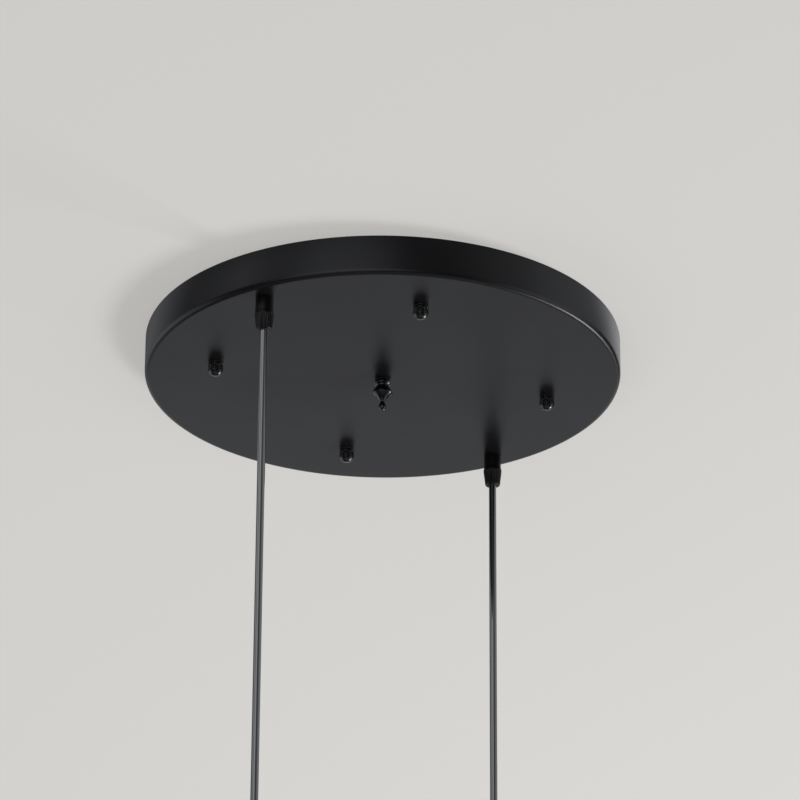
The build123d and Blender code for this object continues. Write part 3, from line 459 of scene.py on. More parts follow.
def helix(outline: list[tuple[float, float]], pitch: float, turns: float,
          steps: int = 24) -> bmesh.types.BMesh:
    """Winds an outline into a right-handed helix.

    Args:
        outline: Radius and level of each point of the wound wire; closed if its ends match.
        pitch: The rise in one turn.
        turns: How many turns it is wound.
        steps: How many faces make one turn.

    Returns:
        The wound mesh, in millimetres.
    """
    mesh = bmesh.new()
    points = [mesh.verts.new((radius, 0.0, level)) for radius, level in outline]
    edges = [mesh.edges.new(pair) for pair in zip(points, points[1:])]
    bmesh.ops.spin(mesh, geom=points + edges, cent=ORIGIN, axis=(0, 0, 1), dvec=(0, 0, pitch / steps),
                   angle=FULL_TURN * turns, steps=round(turns * steps))
    bmesh.ops.remove_doubles(mesh, verts=mesh.verts, dist=MERGED)
    return mesh


def threaded_rod(radius: float, pitch: float, low: float, high: float) -> bmesh.types.BMesh:
    """Makes a rod with a cut thread between two levels.

    Args:
        radius: The thread's outer radius.
        pitch: The rise in one turn.
        low: The lower level.
        high: The upper level.

    Returns:
        The closed rod, in millimetres.
    """
    root, crest = radius - THREAD_DEPTH * pitch, THREAD_CREST * pitch
    start = low - THREAD_RUN_OUT * pitch
    middle = start + pitch / 2
    outline = [(root, start), (radius, middle - crest), (radius, middle + crest), (root, start + pitch)]
    mesh = helix(outline, pitch, round((high - low) / pitch) + 2 * THREAD_RUN_OUT)
    for level, up in ((high, 1), (low, -1)):
        cut = bmesh.ops.bisect_plane(mesh, geom=[*mesh.verts, *mesh.edges, *mesh.faces], dist=ON_CUT,
                                     plane_co=(0, 0, level), plane_no=(0, 0, up), clear_outer=True)
        rim = [item for item in cut["geom_cut"] if isinstance(item, bmesh.types.BMEdge)]
        bmesh.ops.contextual_create(mesh, geom=rim)
    return mesh


def joined(meshes: list[bmesh.types.BMesh]) -> bmesh.types.BMesh:
    """Puts several meshes into one.

    Args:
        meshes: The meshes, which are used up.

    Returns:
        The first mesh, with the others in it.
    """
    first = meshes[0]
    for other in meshes[1:]:
        data = bpy.data.meshes.new("joining")
        other.to_mesh(data)
        other.free()
        first.from_mesh(data)
        bpy.data.meshes.remove(data)
    return first


def axis_at(node: str, level: float = 0.0) -> Vector:
    """Gives the point of a node's upright axis at a level.

    Args:
        node: The node's name.
        level: The level, in metres.

    Returns:
        The point, in metres.
    """
    low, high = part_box(node)
    return Vector(((low.x + high.x) / 2, (low.y + high.y) / 2, level))


def levels_of(node: str) -> tuple[float, float]:
    """Gives a node's lowest and highest level, in millimetres."""
    low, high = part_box(node)
    return low.z / MM, high.z / MM


def screw_places() -> list[Vector]:
    """Lists where the five screws hang, in millimetres: the middle first, then the cap nuts' places."""
    return [ORIGIN] + [axis_at(f"cap_nut_{corner.value}") / MM for corner in Corner]


def body_of_node(node: str) -> str:
    """Gives the body that a node belongs to."""
    return frame["nodes"][node]["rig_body"]


def seat(piece: bpy.types.Object, node: str) -> None:
    """Puts a piece in the place of a node.

    Args:
        piece: The piece.
        node: The node that it stands for.
    """
    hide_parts(node)
    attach(piece, body_of_node(node))
    log.info("%s stands for %s", piece.name, node)


def finished(name: str, mesh: bmesh.types.BMesh, place: Vector, node: str, slot: str,
             finishes: Finishes) -> bpy.types.Object:
    """Makes a mesh in millimetres an object in metres that stands for a node.

    Args:
        name: The object's name.
        mesh: The mesh, which is used up.
        place: Where the mesh's own origin goes, in metres.
        node: The node that it stands for.
        slot: The record's material slot.
        finishes: The materials.

    Returns:
        The new object, with its place in its mesh.
    """
    bmesh.ops.recalc_face_normals(mesh, faces=mesh.faces)
    bmesh.ops.scale(mesh, verts=mesh.verts, vec=(MM, MM, MM))
    bmesh.ops.translate(mesh, verts=mesh.verts, vec=place)
    data = bpy.data.meshes.new(name)
    mesh.to_mesh(data)
    mesh.free()
    data.shade_smooth()
    data.set_sharp_from_angle(angle=SMOOTH_UP_TO)
    data.materials.append(finishes[slot])
    piece = placed(name, data)
    seat(piece, node)
    return piece


# Pan


@dataclass
class Pan:
    """The pressed pan: a flat face, a rolled edge, an upright wall and holes for what goes through it."""

    radius: float = 150.0
    height: float = 25.0
    wall: float = 1.0
    edge_radius: float = 3.0
    lip_chamfer: float = 0.1
    lip_round: float = 0.25
    lip_bulge: float = 0.07
    border: float = 1.0
    screw_hole: float = 2.2
    grip_hole: float = 5.2
    hole_steps: int = 32
    steps: int = 288

    def build(self, finishes: Finishes) -> None:
        """Makes the pan.

        Args:
            finishes: The materials.
        """
        face, floor = -self.height, self.wall - self.height
        outer, inner = self.radius, self.radius - self.wall
        inner_edge = self.edge_radius - self.wall
        flat, inner_flat = outer - self.edge_radius, inner - inner_edge
        outline = Outline(inner_flat - self.border, floor).line(inner_flat, floor)
        outline.arc(inner, floor + inner_edge, -inner_edge * QUARTER_BULGE)
        outline.line(inner, -self.lip_chamfer).line(inner + self.lip_chamfer, 0.0)
        outline.line(outer - self.lip_round, 0.0).arc(outer, -self.lip_round, self.lip_bulge, steps=3)
        outline.line(outer, face + self.edge_radius)
        outline.arc(flat, face, self.edge_radius * QUARTER_BULGE).line(flat - self.border, face)
        mesh = outline.turned(self.steps)
        rims = {face: ring_edges(mesh, flat - self.border, face),
                floor: ring_edges(mesh, inner_flat - self.border, floor)}
        for place, radius in self._holes():
            self._hole(mesh, place, radius, rims)
        for edges in rims.values():
            bmesh.ops.triangle_fill(mesh, use_beauty=True, edges=edges)
        finished("pan_pressed", mesh, ORIGIN, "canopy_pan", "satin_black_paint", finishes)

    def _holes(self) -> list[tuple[Vector, float]]:
        """Lists the holes, each with its place in millimetres and its radius."""
        holes = [(place, self.screw_hole) for place in screw_places()]
        return holes + [(axis_at(f"{side.value}_grip_body") / MM, self.grip_hole) for side in Side]

    def _hole(self, mesh: bmesh.types.BMesh, place: Vector, radius: float,
              rims: dict[float, list[bmesh.types.BMEdge]]) -> None:
        """Adds the wall of one hole and puts its two rims with the others.

        Args:
            mesh: The pan's mesh.
            place: The hole's middle, in millimetres.
            radius: The hole's radius.
            rims: For each level, the edges that bound its flat.
        """
        circles = []
        for level in rims:
            circle = bmesh.ops.create_circle(mesh, segments=self.hole_steps, radius=radius)["verts"]
            bmesh.ops.translate(mesh, verts=circle, vec=(place.x, place.y, level))
            edges = list({edge for vertex in circle for edge in vertex.link_edges})
            rims[level] = rims[level] + edges
            circles += edges
        bmesh.ops.bridge_loops(mesh, edges=circles)


# Nuts and finial


@dataclass
class CapNut:
    """A knurled cap nut with a plain collar, a groove, a knurled barrel and a low dome."""

    radius: float = 4.75
    height: float = 8.1
    foot_round: float = 0.3
    collar: float = 1.5
    collar_round: float = 0.12
    groove: float = 0.5
    groove_depth: float = 0.45
    land: float = 0.25
    barrel: float = 5.8
    shoulder: float = 0.35
    chamfer: float = 0.1
    dome_radius: float = 4.35
    dome_ledge: float = 0.3
    dome_steps: int = 12
    bore: float = 2.05
    bore_share: float = 0.7
    knurl_width: int = 4
    knurl_depth: float = 0.24
    steps: int = 112

    def build(self, corner: Corner, finishes: Finishes) -> None:
        """Makes one cap nut.

        Args:
            corner: Where it stands.
            finishes: The materials.
        """
        node = f"cap_nut_{corner.value}"
        radius, low = self.radius, -self.barrel
        groove_radius, groove_low = radius - self.groove_depth, -self.collar - self.groove
        bore_end = -self.height * self.bore_share
        dome = arc_bulge(self.dome_radius, self.height - self.barrel)
        outline = Outline(self.bore, bore_end).line(self.bore, 0.0).line(radius, 0.0)
        outline.line(radius, -self.collar).line(groove_radius, -self.collar)
        outline.line(groove_radius, groove_low).line(radius, groove_low).line(radius, groove_low - self.land)
        outline.line(radius, low + self.shoulder).line(radius - self.chamfer, low + self.chamfer)
        outline.line(self.dome_radius + self.dome_ledge, low).line(self.dome_radius, low)
        mesh = outline.arc(0.0, -self.height, dome, self.dome_steps).turned(self.steps)
        bmesh.ops.holes_fill(mesh, edges=ring_edges(mesh, self.bore, bore_end))
        knurled = (low + self.chamfer / 2, groove_low - self.chamfer)
        flute(mesh, self.steps, self.knurl_width, knurled, self.dome_radius, (self.knurl_depth,))
        soften(mesh, radius, 0.0, self.foot_round)
        soften(mesh, radius, -self.collar, self.collar_round)
        place = axis_at(node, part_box(node)[1].z)
        finished(f"nut_{corner.value}", mesh, place, node, "gloss_black_enamel", finishes)


@dataclass(frozen=True)
class Stretch:
    """One round stretch of the finial: where it ends, how far it bulges and its steps."""

    radius: float
    depth: float
    bulge: float
    steps: int


@dataclass
class Finial:
    """The turned finial, from its foot down to its drop."""

    bore: float = 2.05
    bore_depth: float = 6.0
    foot_top: float = 4.8
    foot: float = 5.35
    foot_height: float = 1.8
    foot_edge: Stretch = Stretch(4.85, 2.4, 0.1, 4)
    cove: Stretch = Stretch(3.7, 3.9, -0.35, 8)
    umbrella: Stretch = Stretch(6.2, 8.2, 0.5, 12)
    rim: Stretch = Stretch(6.05, 8.8, 0.12, 6)
    flare: Stretch = Stretch(1.4, 14.2, -0.3, 12)
    neck: Stretch = Stretch(1.5, 15.4, -0.12, 6)
    drop: Stretch = Stretch(0.0, 20.4, 1.6, 18)
    steps: int = 96

    def build(self, finishes: Finishes) -> None:
        """Makes the finial.

        Args:
            finishes: The materials.
        """
        outline = Outline(self.bore, -self.bore_depth).line(self.bore, 0.0).line(self.foot_top, 0.0)
        outline.line(self.foot, -self.foot_height)
        for stretch in (self.foot_edge, self.cove, self.umbrella, self.rim, self.flare, self.neck, self.drop):
            outline.arc(stretch.radius, -stretch.depth, stretch.bulge, stretch.steps)
        mesh = outline.turned(self.steps)
        bmesh.ops.holes_fill(mesh, edges=ring_edges(mesh, self.bore, -self.bore_depth))
        place = axis_at("finial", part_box("finial")[1].z)
        finished("finial_turned", mesh, place, "finial", "gloss_black_enamel", finishes)


@dataclass
class FixingScrews:
    """The machine screws that hang from the bracket, with their cut threads."""

    radius: float = 2.0
    pitch: float = 0.7
    head_radius: float = 4.0
    head_height: float = 2.4
    head_rim: float = 0.8
    crown: float = 1.5
    crown_bulge: float = 0.45
    recess_length: float = 4.4
    recess_width: float = 0.9
    recess_depth: float = 1.3

    def build(self, finishes: Finishes) -> None:
        """Makes the five screws as one object.

        Args:
            finishes: The materials.
        """
        bottom, top = levels_of("fixing_screws")
        meshes = []
        for place in screw_places():
            rod = threaded_rod(self.radius, self.pitch, bottom, top - self.head_height)
            for mesh in (rod, self._head(top)):
                bmesh.ops.translate(mesh, verts=mesh.verts, vec=place)
                meshes.append(mesh)
        finished("screws_threaded", joined(meshes), ORIGIN, "fixing_screws", "zinc_plated_steel", finishes)

    def _head(self, top: float) -> bmesh.types.BMesh:
        """Makes a pan head with a cross recess.

        Args:
            top: The level of its crown.

        Returns:
            The head, in millimetres.
        """
        bottom, radius = top - self.head_height, self.head_radius
        outline = Outline(0.0, bottom).line(radius, bottom).line(radius, bottom + self.head_rim)
        outline.arc(radius - self.crown, top, -self.crown_bulge, steps=6).line(0.0, top)
        mesh = outline.turned(SMALL_TURN_STEPS)
        reach, half = self.recess_length / 2, self.recess_width / 2
        for axis in (Vector((1.0, 0.0, 0.0)), Vector((0.0, 1.0, 0.0))):
            for place in (-reach, -half, half, reach):
                bmesh.ops.bisect_plane(mesh, geom=[*mesh.verts, *mesh.edges, *mesh.faces], dist=ON_CUT,
                                       plane_co=axis * place, plane_no=axis)
        cross = []
        for face in mesh.faces:
            middle = face.calc_center_median()
            across, along = sorted((abs(middle.x), abs(middle.y)))
            if middle.z > top - ON_RING and across < half and along < reach:
                cross.append(face)
        # The operator leaves the faces that it extrudes as a lid, which is deleted last
        sunk = bmesh.ops.extrude_face_region(mesh, geom=cross)["geom"]
        floor = [item for item in sunk if isinstance(item, bmesh.types.BMVert)]
        bmesh.ops.translate(mesh, verts=floor, vec=(0, 0, -self.recess_depth))
        bmesh.ops.delete(mesh, geom=cross, context="FACES")
        return mesh


# Cord grips


@dataclass
class CordGrip:
    """A cord grip: a smooth collar under the pan, a fluted clamp nut and the seal's end below it."""

    collar: float = 5.45
    collar_round: float = 0.15
    seam: float = 5.9
    seam_land: float = 0.3
    edge_round: float = 0.12
    flare: float = 3.0
    flare_bulge: float = 0.06
    height: float = 10.8
    thread: float = 5.0
    thread_pitch: float = 1.0
    thread_length: float = 8.0
    bore: float = 2.8
    spigot: float = 4.3
    socket: float = 3.7
    socket_depth: float = 3.6
    play: float = 0.05
    margin: float = 0.1
    nut_land: float = 0.5
    shoulder: float = 4.85
    shoulder_at: float = 9.0
    nut_end: float = 4.4
    nut_bulge: float = 0.12
    nut_floor: float = 3.5
    mouth: float = 3.2
    flute_width: int = 6
    flute_depths: tuple[float, float] = (0.34, 0.2108)
    seal: float = 3.5
    seal_end: float = 3.0
    seal_round: float = 0.2
    seal_bulge: float = 0.1
    seal_bore: float = 2.45
    steps: int = 132

    def build(self, side: Side, finishes: Finishes) -> None:
        """Makes the three pieces of one grip.

        Args:
            side: Which cord it holds.
            finishes: The materials.
        """
        self._body(side, finishes)
        self._nut(side, finishes)
        self._seal(side, finishes)

    def _body(self, side: Side, finishes: Finishes) -> None:
        """Makes the body: the collar below the pan and the thread above it."""
        node = f"{side.value}_grip_body"
        foot, top = levels_of(node)
        face = top - self.thread_length
        seam = face - self.height
        outline = Outline(self.bore, face).line(self.collar, face).line(self.collar, seam + self.flare)
        outline.arc(self.seam, seam + self.seam_land, -self.flare_bulge, steps=6).line(self.seam, seam)
        outline.line(self.spigot, seam).line(self.spigot, foot).line(self.socket, foot)
        outline.line(self.socket, foot + self.socket_depth).line(self.bore, foot + self.socket_depth)
        mesh = outline.line(self.bore, face).turned(self.steps)
        soften(mesh, self.collar, face, self.collar_round)
        soften(mesh, self.seam, seam, self.edge_round)
        both = joined([mesh, threaded_rod(self.thread, self.thread_pitch, face - self.margin, top)])
        finished(f"grip_body_{side.value}", both, axis_at(node), node, "black_nylon", finishes)

    def _nut(self, side: Side, finishes: Finishes) -> None:
        """Makes the fluted clamp nut."""
        node = f"{side.value}_clamp_nut"
        bottom, top = levels_of(node)
        floor, thread = bottom + self.nut_floor, self.spigot + self.play
        outline = Outline(self.mouth, bottom).line(self.mouth, floor).line(thread, floor).line(thread, top)
        outline.line(self.seam, top).line(self.seam - self.play, top - self.nut_land)
        outline.line(self.shoulder, top - self.shoulder_at)
        outline.arc(self.nut_end, bottom, self.nut_bulge, steps=6).line(self.mouth, bottom)
        mesh = outline.turned(self.steps)
        fluted = (bottom + self.margin, top - self.seam_land)
        flute(mesh, self.steps, self.flute_width, fluted, thread + self.margin, self.flute_depths)
        soften(mesh, self.seam, top, self.edge_round)
        finished(f"clamp_nut_{side.value}", mesh, axis_at(node), node, "black_nylon", finishes)

    def _seal(self, side: Side, finishes: Finishes) -> None:
        """Makes the rubber seal round the cord."""
        node = f"{side.value}_grip_seal"
        bottom, top = levels_of(node)
        shoulder = top - self.socket_depth
        outline = Outline(self.seal_bore, bottom).line(self.seal_bore, top).line(self.seal, top)
        outline.line(self.seal, shoulder).line(self.seal_end, shoulder)
        outline.line(self.seal_end, bottom + 2 * self.seal_round)
        outline.arc(self.seal_end - self.seal_round, bottom, self.seal_bulge, steps=4)
        mesh = outline.line(self.seal_bore, bottom).turned(SMALL_TURN_STEPS)
        finished(f"seal_{side.value}", mesh, axis_at(node), node, "black_rubber", finishes)


# Cords


@dataclass
class Cord:
    """A straight round cord that hangs from its grip's seal to its lamp holder."""

    diameter: float = 4.8
    points: int = 6
    steps_round: int = 10
    steps_along: int = 12

    def build(self, side: Side, holder: list[bpy.types.Object], finishes: Finishes) -> None:
        """Args:
            side: Which cord it is.
            holder: The pieces on its lower end; not used.
            finishes: The materials.
        """
        node = f"{side.value}_cord"
        low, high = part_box(node)
        data = bpy.data.curves.new(f"cord_{side.value}", "CURVE")
        data.dimensions = "3D"
        data.bevel_depth = self.diameter * MM / 2
        data.bevel_resolution = self.steps_round
        data.resolution_u = self.steps_along
        data.use_fill_caps = True
        data.materials.append(finishes["black_cord_sheath"])
        spline = data.splines.new("NURBS")
        spline.points.add(self.points - 1)
        for number, point in enumerate(spline.points):
            level = high.z + (low.z - high.z) * number / (self.points - 1)
            point.co = (*axis_at(node, level), 1.0)
        spline.order_u = 3
        spline.use_endpoint_u = True
        spline.use_smooth = True
        piece = placed(data.name, data)
        seat(piece, node)


# Lamp holders


@dataclass
class LampHolder:
    """The lamp holder: a cord clamp, a domed cap and a ribbed skirt with a knuckle thread inside."""

    cap_radius: float = 19.0
    cap_shoulder: float = 8.0
    cap_shoulder_round: float = 0.4
    cap_rim_round: float = 0.3
    cap_hollow_bulge: float = 2.4
    wall: float = 2.2
    rim_share: float = 0.3
    play: float = 0.02
    gland_radius: float = 5.0
    gland_bore: float = 2.42
    gland_lip: float = 0.3
    gland_lip_bulge: float = 0.09
    gland_shoulder: float = 1.2
    gland_bulge: float = 0.35
    skirt_radius: float = 20.0
    # The skirt's outside below its collar: how far in, and how far down
    skirt_steps: tuple[tuple[float, float], ...] = ((1.0, 1.0), (1.02, 2.0), (1.2, 9.0))
    skirt_end: float = 18.0
    skirt_end_round: float = 0.8
    skirt_end_bulge: float = 0.2
    collar: float = 3.0
    collar_chamfer: float = 0.6
    collar_round: float = 0.2
    bore: float = 13.3
    thread_depth: float = 0.75
    thread_pitch: float = 3.6
    thread_length: float = 18.0
    thread_steps: int = 48
    # The knuckle thread's rising flank: how far out of the bore, and the share of half a pitch
    flank: tuple[tuple[float, float], ...] = ((0.85, 0.0), (0.55, 0.35), (0.12, 0.7))
    chamber: float = 14.3
    chamber_height: float = 4.0
    mouth: float = 15.5
    mouth_depth: float = 6.0
    core_radius: float = 15.52
    ribs_from: float = 1.5
    ribs_to: float = 9.5
    rib_width: int = 4
    rib_depth: float = 0.45
    steps: int = 144

    def build(self, side: Side, finishes: Finishes) -> list[bpy.types.Object]:
        """Makes one lamp holder.

        Args:
            side: Which cord it hangs on.
            finishes: The materials.

        Returns:
            The pieces on the cord's end, frame nodes among them.
        """
        pieces = [self._gland(side, finishes), self._cap(side, finishes), self._skirt(side, finishes)]
        kept = ("holder_gland_screw", "holder_core", "holder_contact")
        return pieces + [frame["nodes"][f"{side.value}_{name}"] for name in kept]

    def _gland(self, side: Side, finishes: Finishes) -> bpy.types.Object:
        """Makes the cord clamp on top of the holder."""
        node = f"{side.value}_holder_gland"
        bottom, top = levels_of(node)
        bore, radius = self.gland_bore, self.gland_radius
        outline = Outline(bore, bottom).line(bore, top - self.gland_lip)
        outline.arc(bore + self.gland_lip, top, -self.gland_lip_bulge, steps=3)
        outline.line(radius - self.gland_shoulder, top)
        outline.arc(radius, top - self.gland_shoulder, self.gland_bulge, steps=6)
        mesh = outline.line(radius, bottom).line(bore, bottom).turned(SMALL_TURN_STEPS)
        return finished(f"holder_clamp_{side.value}", mesh, axis_at(node), node, "black_nylon", finishes)

    def _cap(self, side: Side, finishes: Finishes) -> bpy.types.Object:
        """Makes the domed upper half."""
        node = f"{side.value}_holder_cap"
        bottom, top = levels_of(node)
        hole, radius, ceiling = self.gland_radius + self.play, self.cap_radius, top - self.wall
        rise = (top - bottom) * (1 - self.rim_share)
        outline = Outline(hole, ceiling).line(hole, top).line(self.cap_shoulder, top)
        outline.arc(radius, top - rise, arc_bulge(rise, radius - self.cap_shoulder), steps=18)
        outline.line(radius, bottom).line(radius - self.wall, bottom)
        outline.line(radius - self.wall, bottom + (ceiling - bottom) * self.rim_share)
        outline.arc(self.cap_shoulder, ceiling, -self.cap_hollow_bulge, steps=16).line(hole, ceiling)
        mesh = outline.turned(self.steps)
        soften(mesh, self.cap_shoulder, top, self.cap_shoulder_round)
        soften(mesh, radius, bottom, self.cap_rim_round)
        return finished(f"holder_dome_{side.value}", mesh, axis_at(node), node, "black_moulding", finishes)

    def _skirt(self, side: Side, finishes: Finishes) -> bpy.types.Object:
        """Makes the ribbed lower half with its inside thread."""
        node = f"{side.value}_holder_skirt"
        bottom, top = levels_of(node)
        radius, collar = self.skirt_radius, top - self.collar
        thread_low = bottom + self.mouth_depth
        thread_high = thread_low + self.thread_length
        root, ceiling = self.bore + self.thread_depth, thread_high + self.chamber_height
        outline = Outline(self.core_radius, top).line(radius - self.collar_chamfer, top)
        outline.line(radius, top - self.collar_chamfer).line(radius, collar)
        for inset, depth in self.skirt_steps:
            outline.line(radius - inset, collar - depth)
        outline.line(self.skirt_end, bottom + self.skirt_end_round)
        outline.arc(self.skirt_end - self.skirt_end_round, bottom, self.skirt_end_bulge, steps=4)
        outline.line(self.mouth, bottom).line(self.mouth, thread_low).line(root, thread_low)
        outline.line(root, thread_high).line(self.chamber, thread_high).line(self.chamber, ceiling)
        mesh = outline.line(self.core_radius, ceiling).line(self.core_radius, top).turned(self.steps)
        ribbed = (collar - self.ribs_to, collar - self.ribs_from)
        flute(mesh, self.steps, self.rib_width, ribbed, self.skirt_end, (self.rib_depth,))
        soften(mesh, radius, collar, self.collar_round)
        both = joined([mesh, self._thread(thread_low)])
        return finished(f"holder_ribbed_{side.value}", both, axis_at(node), node, "black_moulding", finishes)

    def _thread(self, level: float) -> bmesh.types.BMesh:
        """Makes the ridge of the knuckle thread that takes a lamp.

        Args:
            level: The level that it starts at.

        Returns:
            The closed ridge, in millimetres.
        """
        half = self.thread_pitch / 2
        rising = [(self.bore + out, half * share) for out, share in self.flank]
        falling = [(self.bore + out, half * (2 - share)) for out, share in reversed(self.flank)]
        turns = (self.thread_length - self.thread_pitch) / self.thread_pitch
        ridge = helix([*rising, (self.bore, half), *falling, rising[0]], self.thread_pitch, turns,
                      self.thread_steps)
        bmesh.ops.holes_fill(ridge, edges=[edge for edge in ridge.edges if edge.is_boundary])
        bmesh.ops.translate(ridge, verts=ridge.verts, vec=(0, 0, level))
        return ridge


# Studio


@dataclass
class Ceiling:
    """The plain pale ceiling, seen from below only, with a hole that the pan covers."""

    hole: float = 149.4
    reach: float = 6000.0
    steps: int = 256
    colour: str = "#e0deda"
    glow: float = 0.5

    def build(self) -> None:
        """Makes the ceiling."""
        mesh = bmesh.new()
        edges = []
        for radius in (self.hole, self.reach):
            circle = bmesh.ops.create_circle(mesh, segments=self.steps, radius=radius * MM)["verts"]
            edges += list({edge for vertex in circle for edge in vertex.link_edges})
        bmesh.ops.bridge_loops(mesh, edges=edges)
        for face in mesh.faces:
            if face.normal.z > 0:
                face.normal_flip()
        data = bpy.data.meshes.new("ceiling")
        mesh.to_mesh(data)
        mesh.free()
        data.materials.append(self._material())
        ceiling = placed("ceiling", data)
        ceiling.visible_glossy = False

    def _material(self) -> bpy.types.Material:
        """Makes matt emulsion that glows a little for the camera, and is clear from above.

        Returns:
            The ceiling's material.
        """
        made = bpy.data.materials.new("emulsion_pale")
        tree = cleared_tree(made)
        colour = linear(self.colour)
        path = add_node(tree, "ShaderNodeLightPath")
        glow = add_node(tree, "ShaderNodeMath", {
            0: path.outputs["Is Camera Ray"], 1: self.glow}, operation="MULTIPLY")
        light = add_node(tree, "ShaderNodeEmission", {"Color": colour, "Strength": glow.outputs["Value"]})
        matt = add_node(tree, "ShaderNodeBsdfDiffuse", {"Color": colour})
        black = add_node(tree, "ShaderNodeBsdfDiffuse", {"Color": linear("#000000")})
        dimmed = add_node(tree, "ShaderNodeMixShader", {
            "Fac": 1 - self.glow, 1: black.outputs["BSDF"], 2: matt.outputs["BSDF"]})
        both = add_node(tree, "ShaderNodeAddShader", {
            0: light.outputs["Emission"], 1: dimmed.outputs["Shader"]})
        side = add_node(tree, "ShaderNodeNewGeometry").outputs["Backfacing"]
        clear = add_node(tree, "ShaderNodeBsdfTransparent")
        surface = add_node(tree, "ShaderNodeMixShader", {
            "Fac": side, 1: both.outputs["Shader"], 2: clear.outputs["BSDF"]})
        add_node(tree, "ShaderNodeOutputMaterial", {"Surface": surface.outputs["Shader"]})
        return made


@dataclass(frozen=True)
class Panel:
    """A soft pale panel far away, which glossy black shows as a band of light."""

    name: str
    heading: float
    elevation: float
    reach: float
    strength: float
    core_share: float = 0.15

    def direction(self) -> Vector:
        """Gives the way to the panel's middle."""
        heading, elevation = math.radians(self.heading), math.radians(self.elevation)
        flat = math.cos(elevation)
        return Vector((flat * math.sin(heading), flat * math.cos(heading), math.sin(elevation)))

    def light(self, tree: bpy.types.NodeTree, way: bpy.types.NodeSocket) -> bpy.types.NodeSocket:
        """Adds the panel's light to the world's nodes.

        Args:
            tree: The world's nodes.
            way: The direction that a ray looks in.

        Returns:
            The output that holds the panel's strength in that direction.
        """
        near = add_node(tree, "ShaderNodeVectorMath", {
            0: way, 1: self.direction()}, operation="DOT_PRODUCT")
        edge, core = (math.cos(math.radians(self.reach * share)) for share in (1, self.core_share))
        return add_node(tree, "ShaderNodeMapRange", {
            "Value": near.outputs["Value"], "From Min": edge, "From Max": core, "To Max": self.strength},
            interpolation_type="SMOOTHSTEP", name=self.name).outputs["Result"]


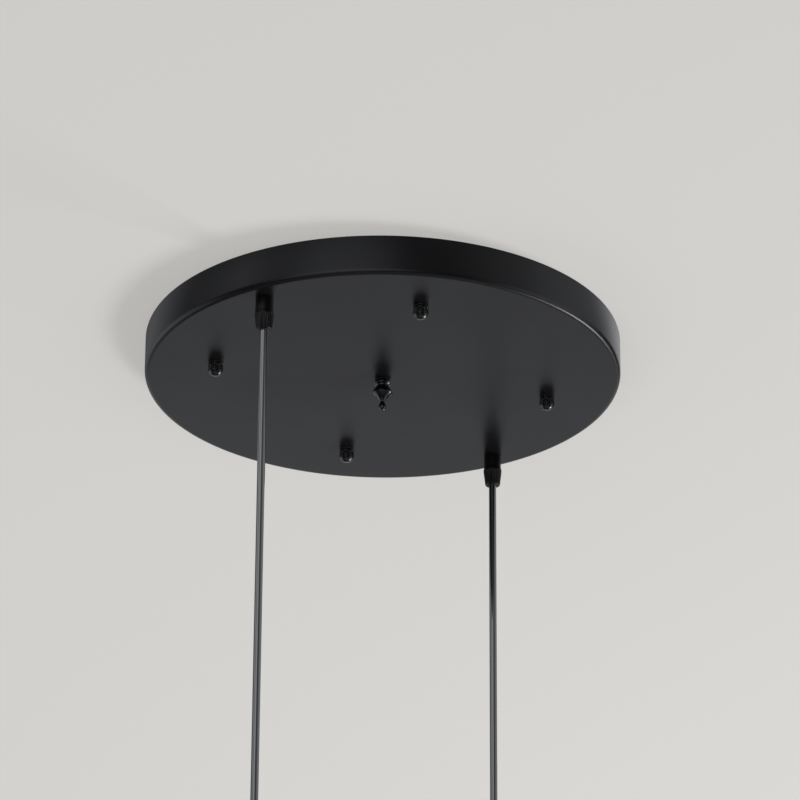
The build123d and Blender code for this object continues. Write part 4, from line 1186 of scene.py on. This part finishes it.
@dataclass
class Studio:
    """The world's background and soft panels, and the key lamp below the ceiling."""

    background: str = "#d1d0ce"
    daylight: str = "#f9fbff"
    ambient: float = 0.02
    panels: tuple[Panel, ...] = (
        Panel("beyond_right", 37.0, 26.0, 26.0, 0.98),
        Panel("right", 90.0, 26.0, 30.0, 0.58),
        Panel("side_right", 120.0, 26.0, 30.0, 0.42),
        Panel("front_right", 150.0, 26.0, 30.0, 0.25),
        Panel("front", 210.0, 26.0, 30.0, 1.05),
        Panel("front_left", 240.0, 26.0, 30.0, 0.3),
        Panel("left", 270.0, 26.0, 30.0, 0.5),
        Panel("strip_left", 264.0, 26.0, 9.0, 1.0),
        Panel("beyond_left", 330.0, 26.0, 30.0, 0.38),
        Panel("beyond_low", 12.0, -5.0, 34.0, 0.86),
        Panel("right_low", 110.0, -15.0, 38.0, 1.5),
        Panel("front_low", 210.0, -15.0, 38.0, 1.8),
        Panel("left_low", 310.0, -15.0, 38.0, 1.26),
        Panel("floor", 0.0, -90.0, 40.0, 0.5),
        Panel("overhead", 0.0, 90.0, 50.0, 0.7),
    )
    key_place: tuple[float, float, float] = (2.705, 1.439, -2.571)
    key_size: float = 1.2
    key_watts: float = 86.0

    def build(self) -> None:
        """Sets the view transform, the world and the key lamp."""
        bpy.context.scene.view_settings.view_transform = "Standard"
        self._world()
        self._key_lamp()

    def _world(self) -> None:
        """Makes the world: a plain background for the camera, and the panels' light for all else."""
        world = bpy.data.worlds.new("studio")
        bpy.context.scene.world = world
        tree = cleared_tree(world)
        way = add_node(tree, "ShaderNodeTexCoord").outputs["Generated"]
        strength: bpy.types.NodeSocket | float = self.ambient
        for panel in self.panels:
            total = {0: strength, 1: panel.light(tree, way)}
            strength = add_node(tree, "ShaderNodeMath", total, operation="ADD").outputs["Value"]
        light = add_node(tree, "ShaderNodeBackground", {"Color": linear(self.daylight), "Strength": strength})
        shown = add_node(tree, "ShaderNodeBackground", {"Color": linear(self.background), "Strength": 1.0})
        path = add_node(tree, "ShaderNodeLightPath")
        both = add_node(tree, "ShaderNodeMixShader", {
            "Fac": path.outputs["Is Camera Ray"], 1: light.outputs["Background"],
            2: shown.outputs["Background"]})
        add_node(tree, "ShaderNodeOutputWorld", {"Surface": both.outputs["Shader"]})

    def _key_lamp(self) -> None:
        """Hangs the key lamp, aimed at the canopy."""
        data = bpy.data.lights.new("key_right", "AREA")
        data.shape = "SQUARE"
        data.size = self.key_size
        data.energy = self.key_watts
        light = placed("key_right", data)
        light.location = self.key_place
        light.rotation_euler = (-Vector(self.key_place)).to_track_quat("-Z", "Y").to_euler()
        light.visible_camera = False


@dataclass
class Viewpoint:
    """The camera, below the canopy and in front of it, as the photograph was taken."""

    place: tuple[float, float, float] = (-0.5496, -2.4971, -1.2572)
    heading: float = 12.66
    pitch: float = 25.485
    roll: float = 0.339
    lens: float = 202.5
    sensor: float = 36.0
    sees_to: float = 50.0

    def build(self) -> None:
        """Makes the camera and looks through it."""
        data = bpy.data.cameras.new("camera")
        data.lens = self.lens
        data.sensor_width = self.sensor
        data.clip_end = self.sees_to
        camera = placed("camera", data)
        camera.location = self.place
        turn = Euler((math.radians(90 + self.pitch), 0.0, -math.radians(self.heading))).to_matrix()
        camera.rotation_euler = (turn @ Matrix.Rotation(math.radians(self.roll), 3, "Z")).to_euler()
        bpy.context.scene.camera = camera


def main() -> None:
    """Builds the scene: camera, finishes, pieces and studio."""
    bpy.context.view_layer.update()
    Viewpoint().build()
    finishes = Finishes()
    finishes.dress_nodes()
    for side in Side:
        holder = LampHolder().build(side, finishes)
        Cord().build(side, holder, finishes)
        CordGrip().build(side, finishes)
    Pan().build(finishes)
    for corner in Corner:
        CapNut().build(corner, finishes)
    Finial().build(finishes)
    FixingScrews().build(finishes)
    Ceiling().build()
    Studio().build()


if __name__ == "__main__":
    logging.basicConfig(level=logging.INFO, format="%(name)s: %(message)s")
    main()
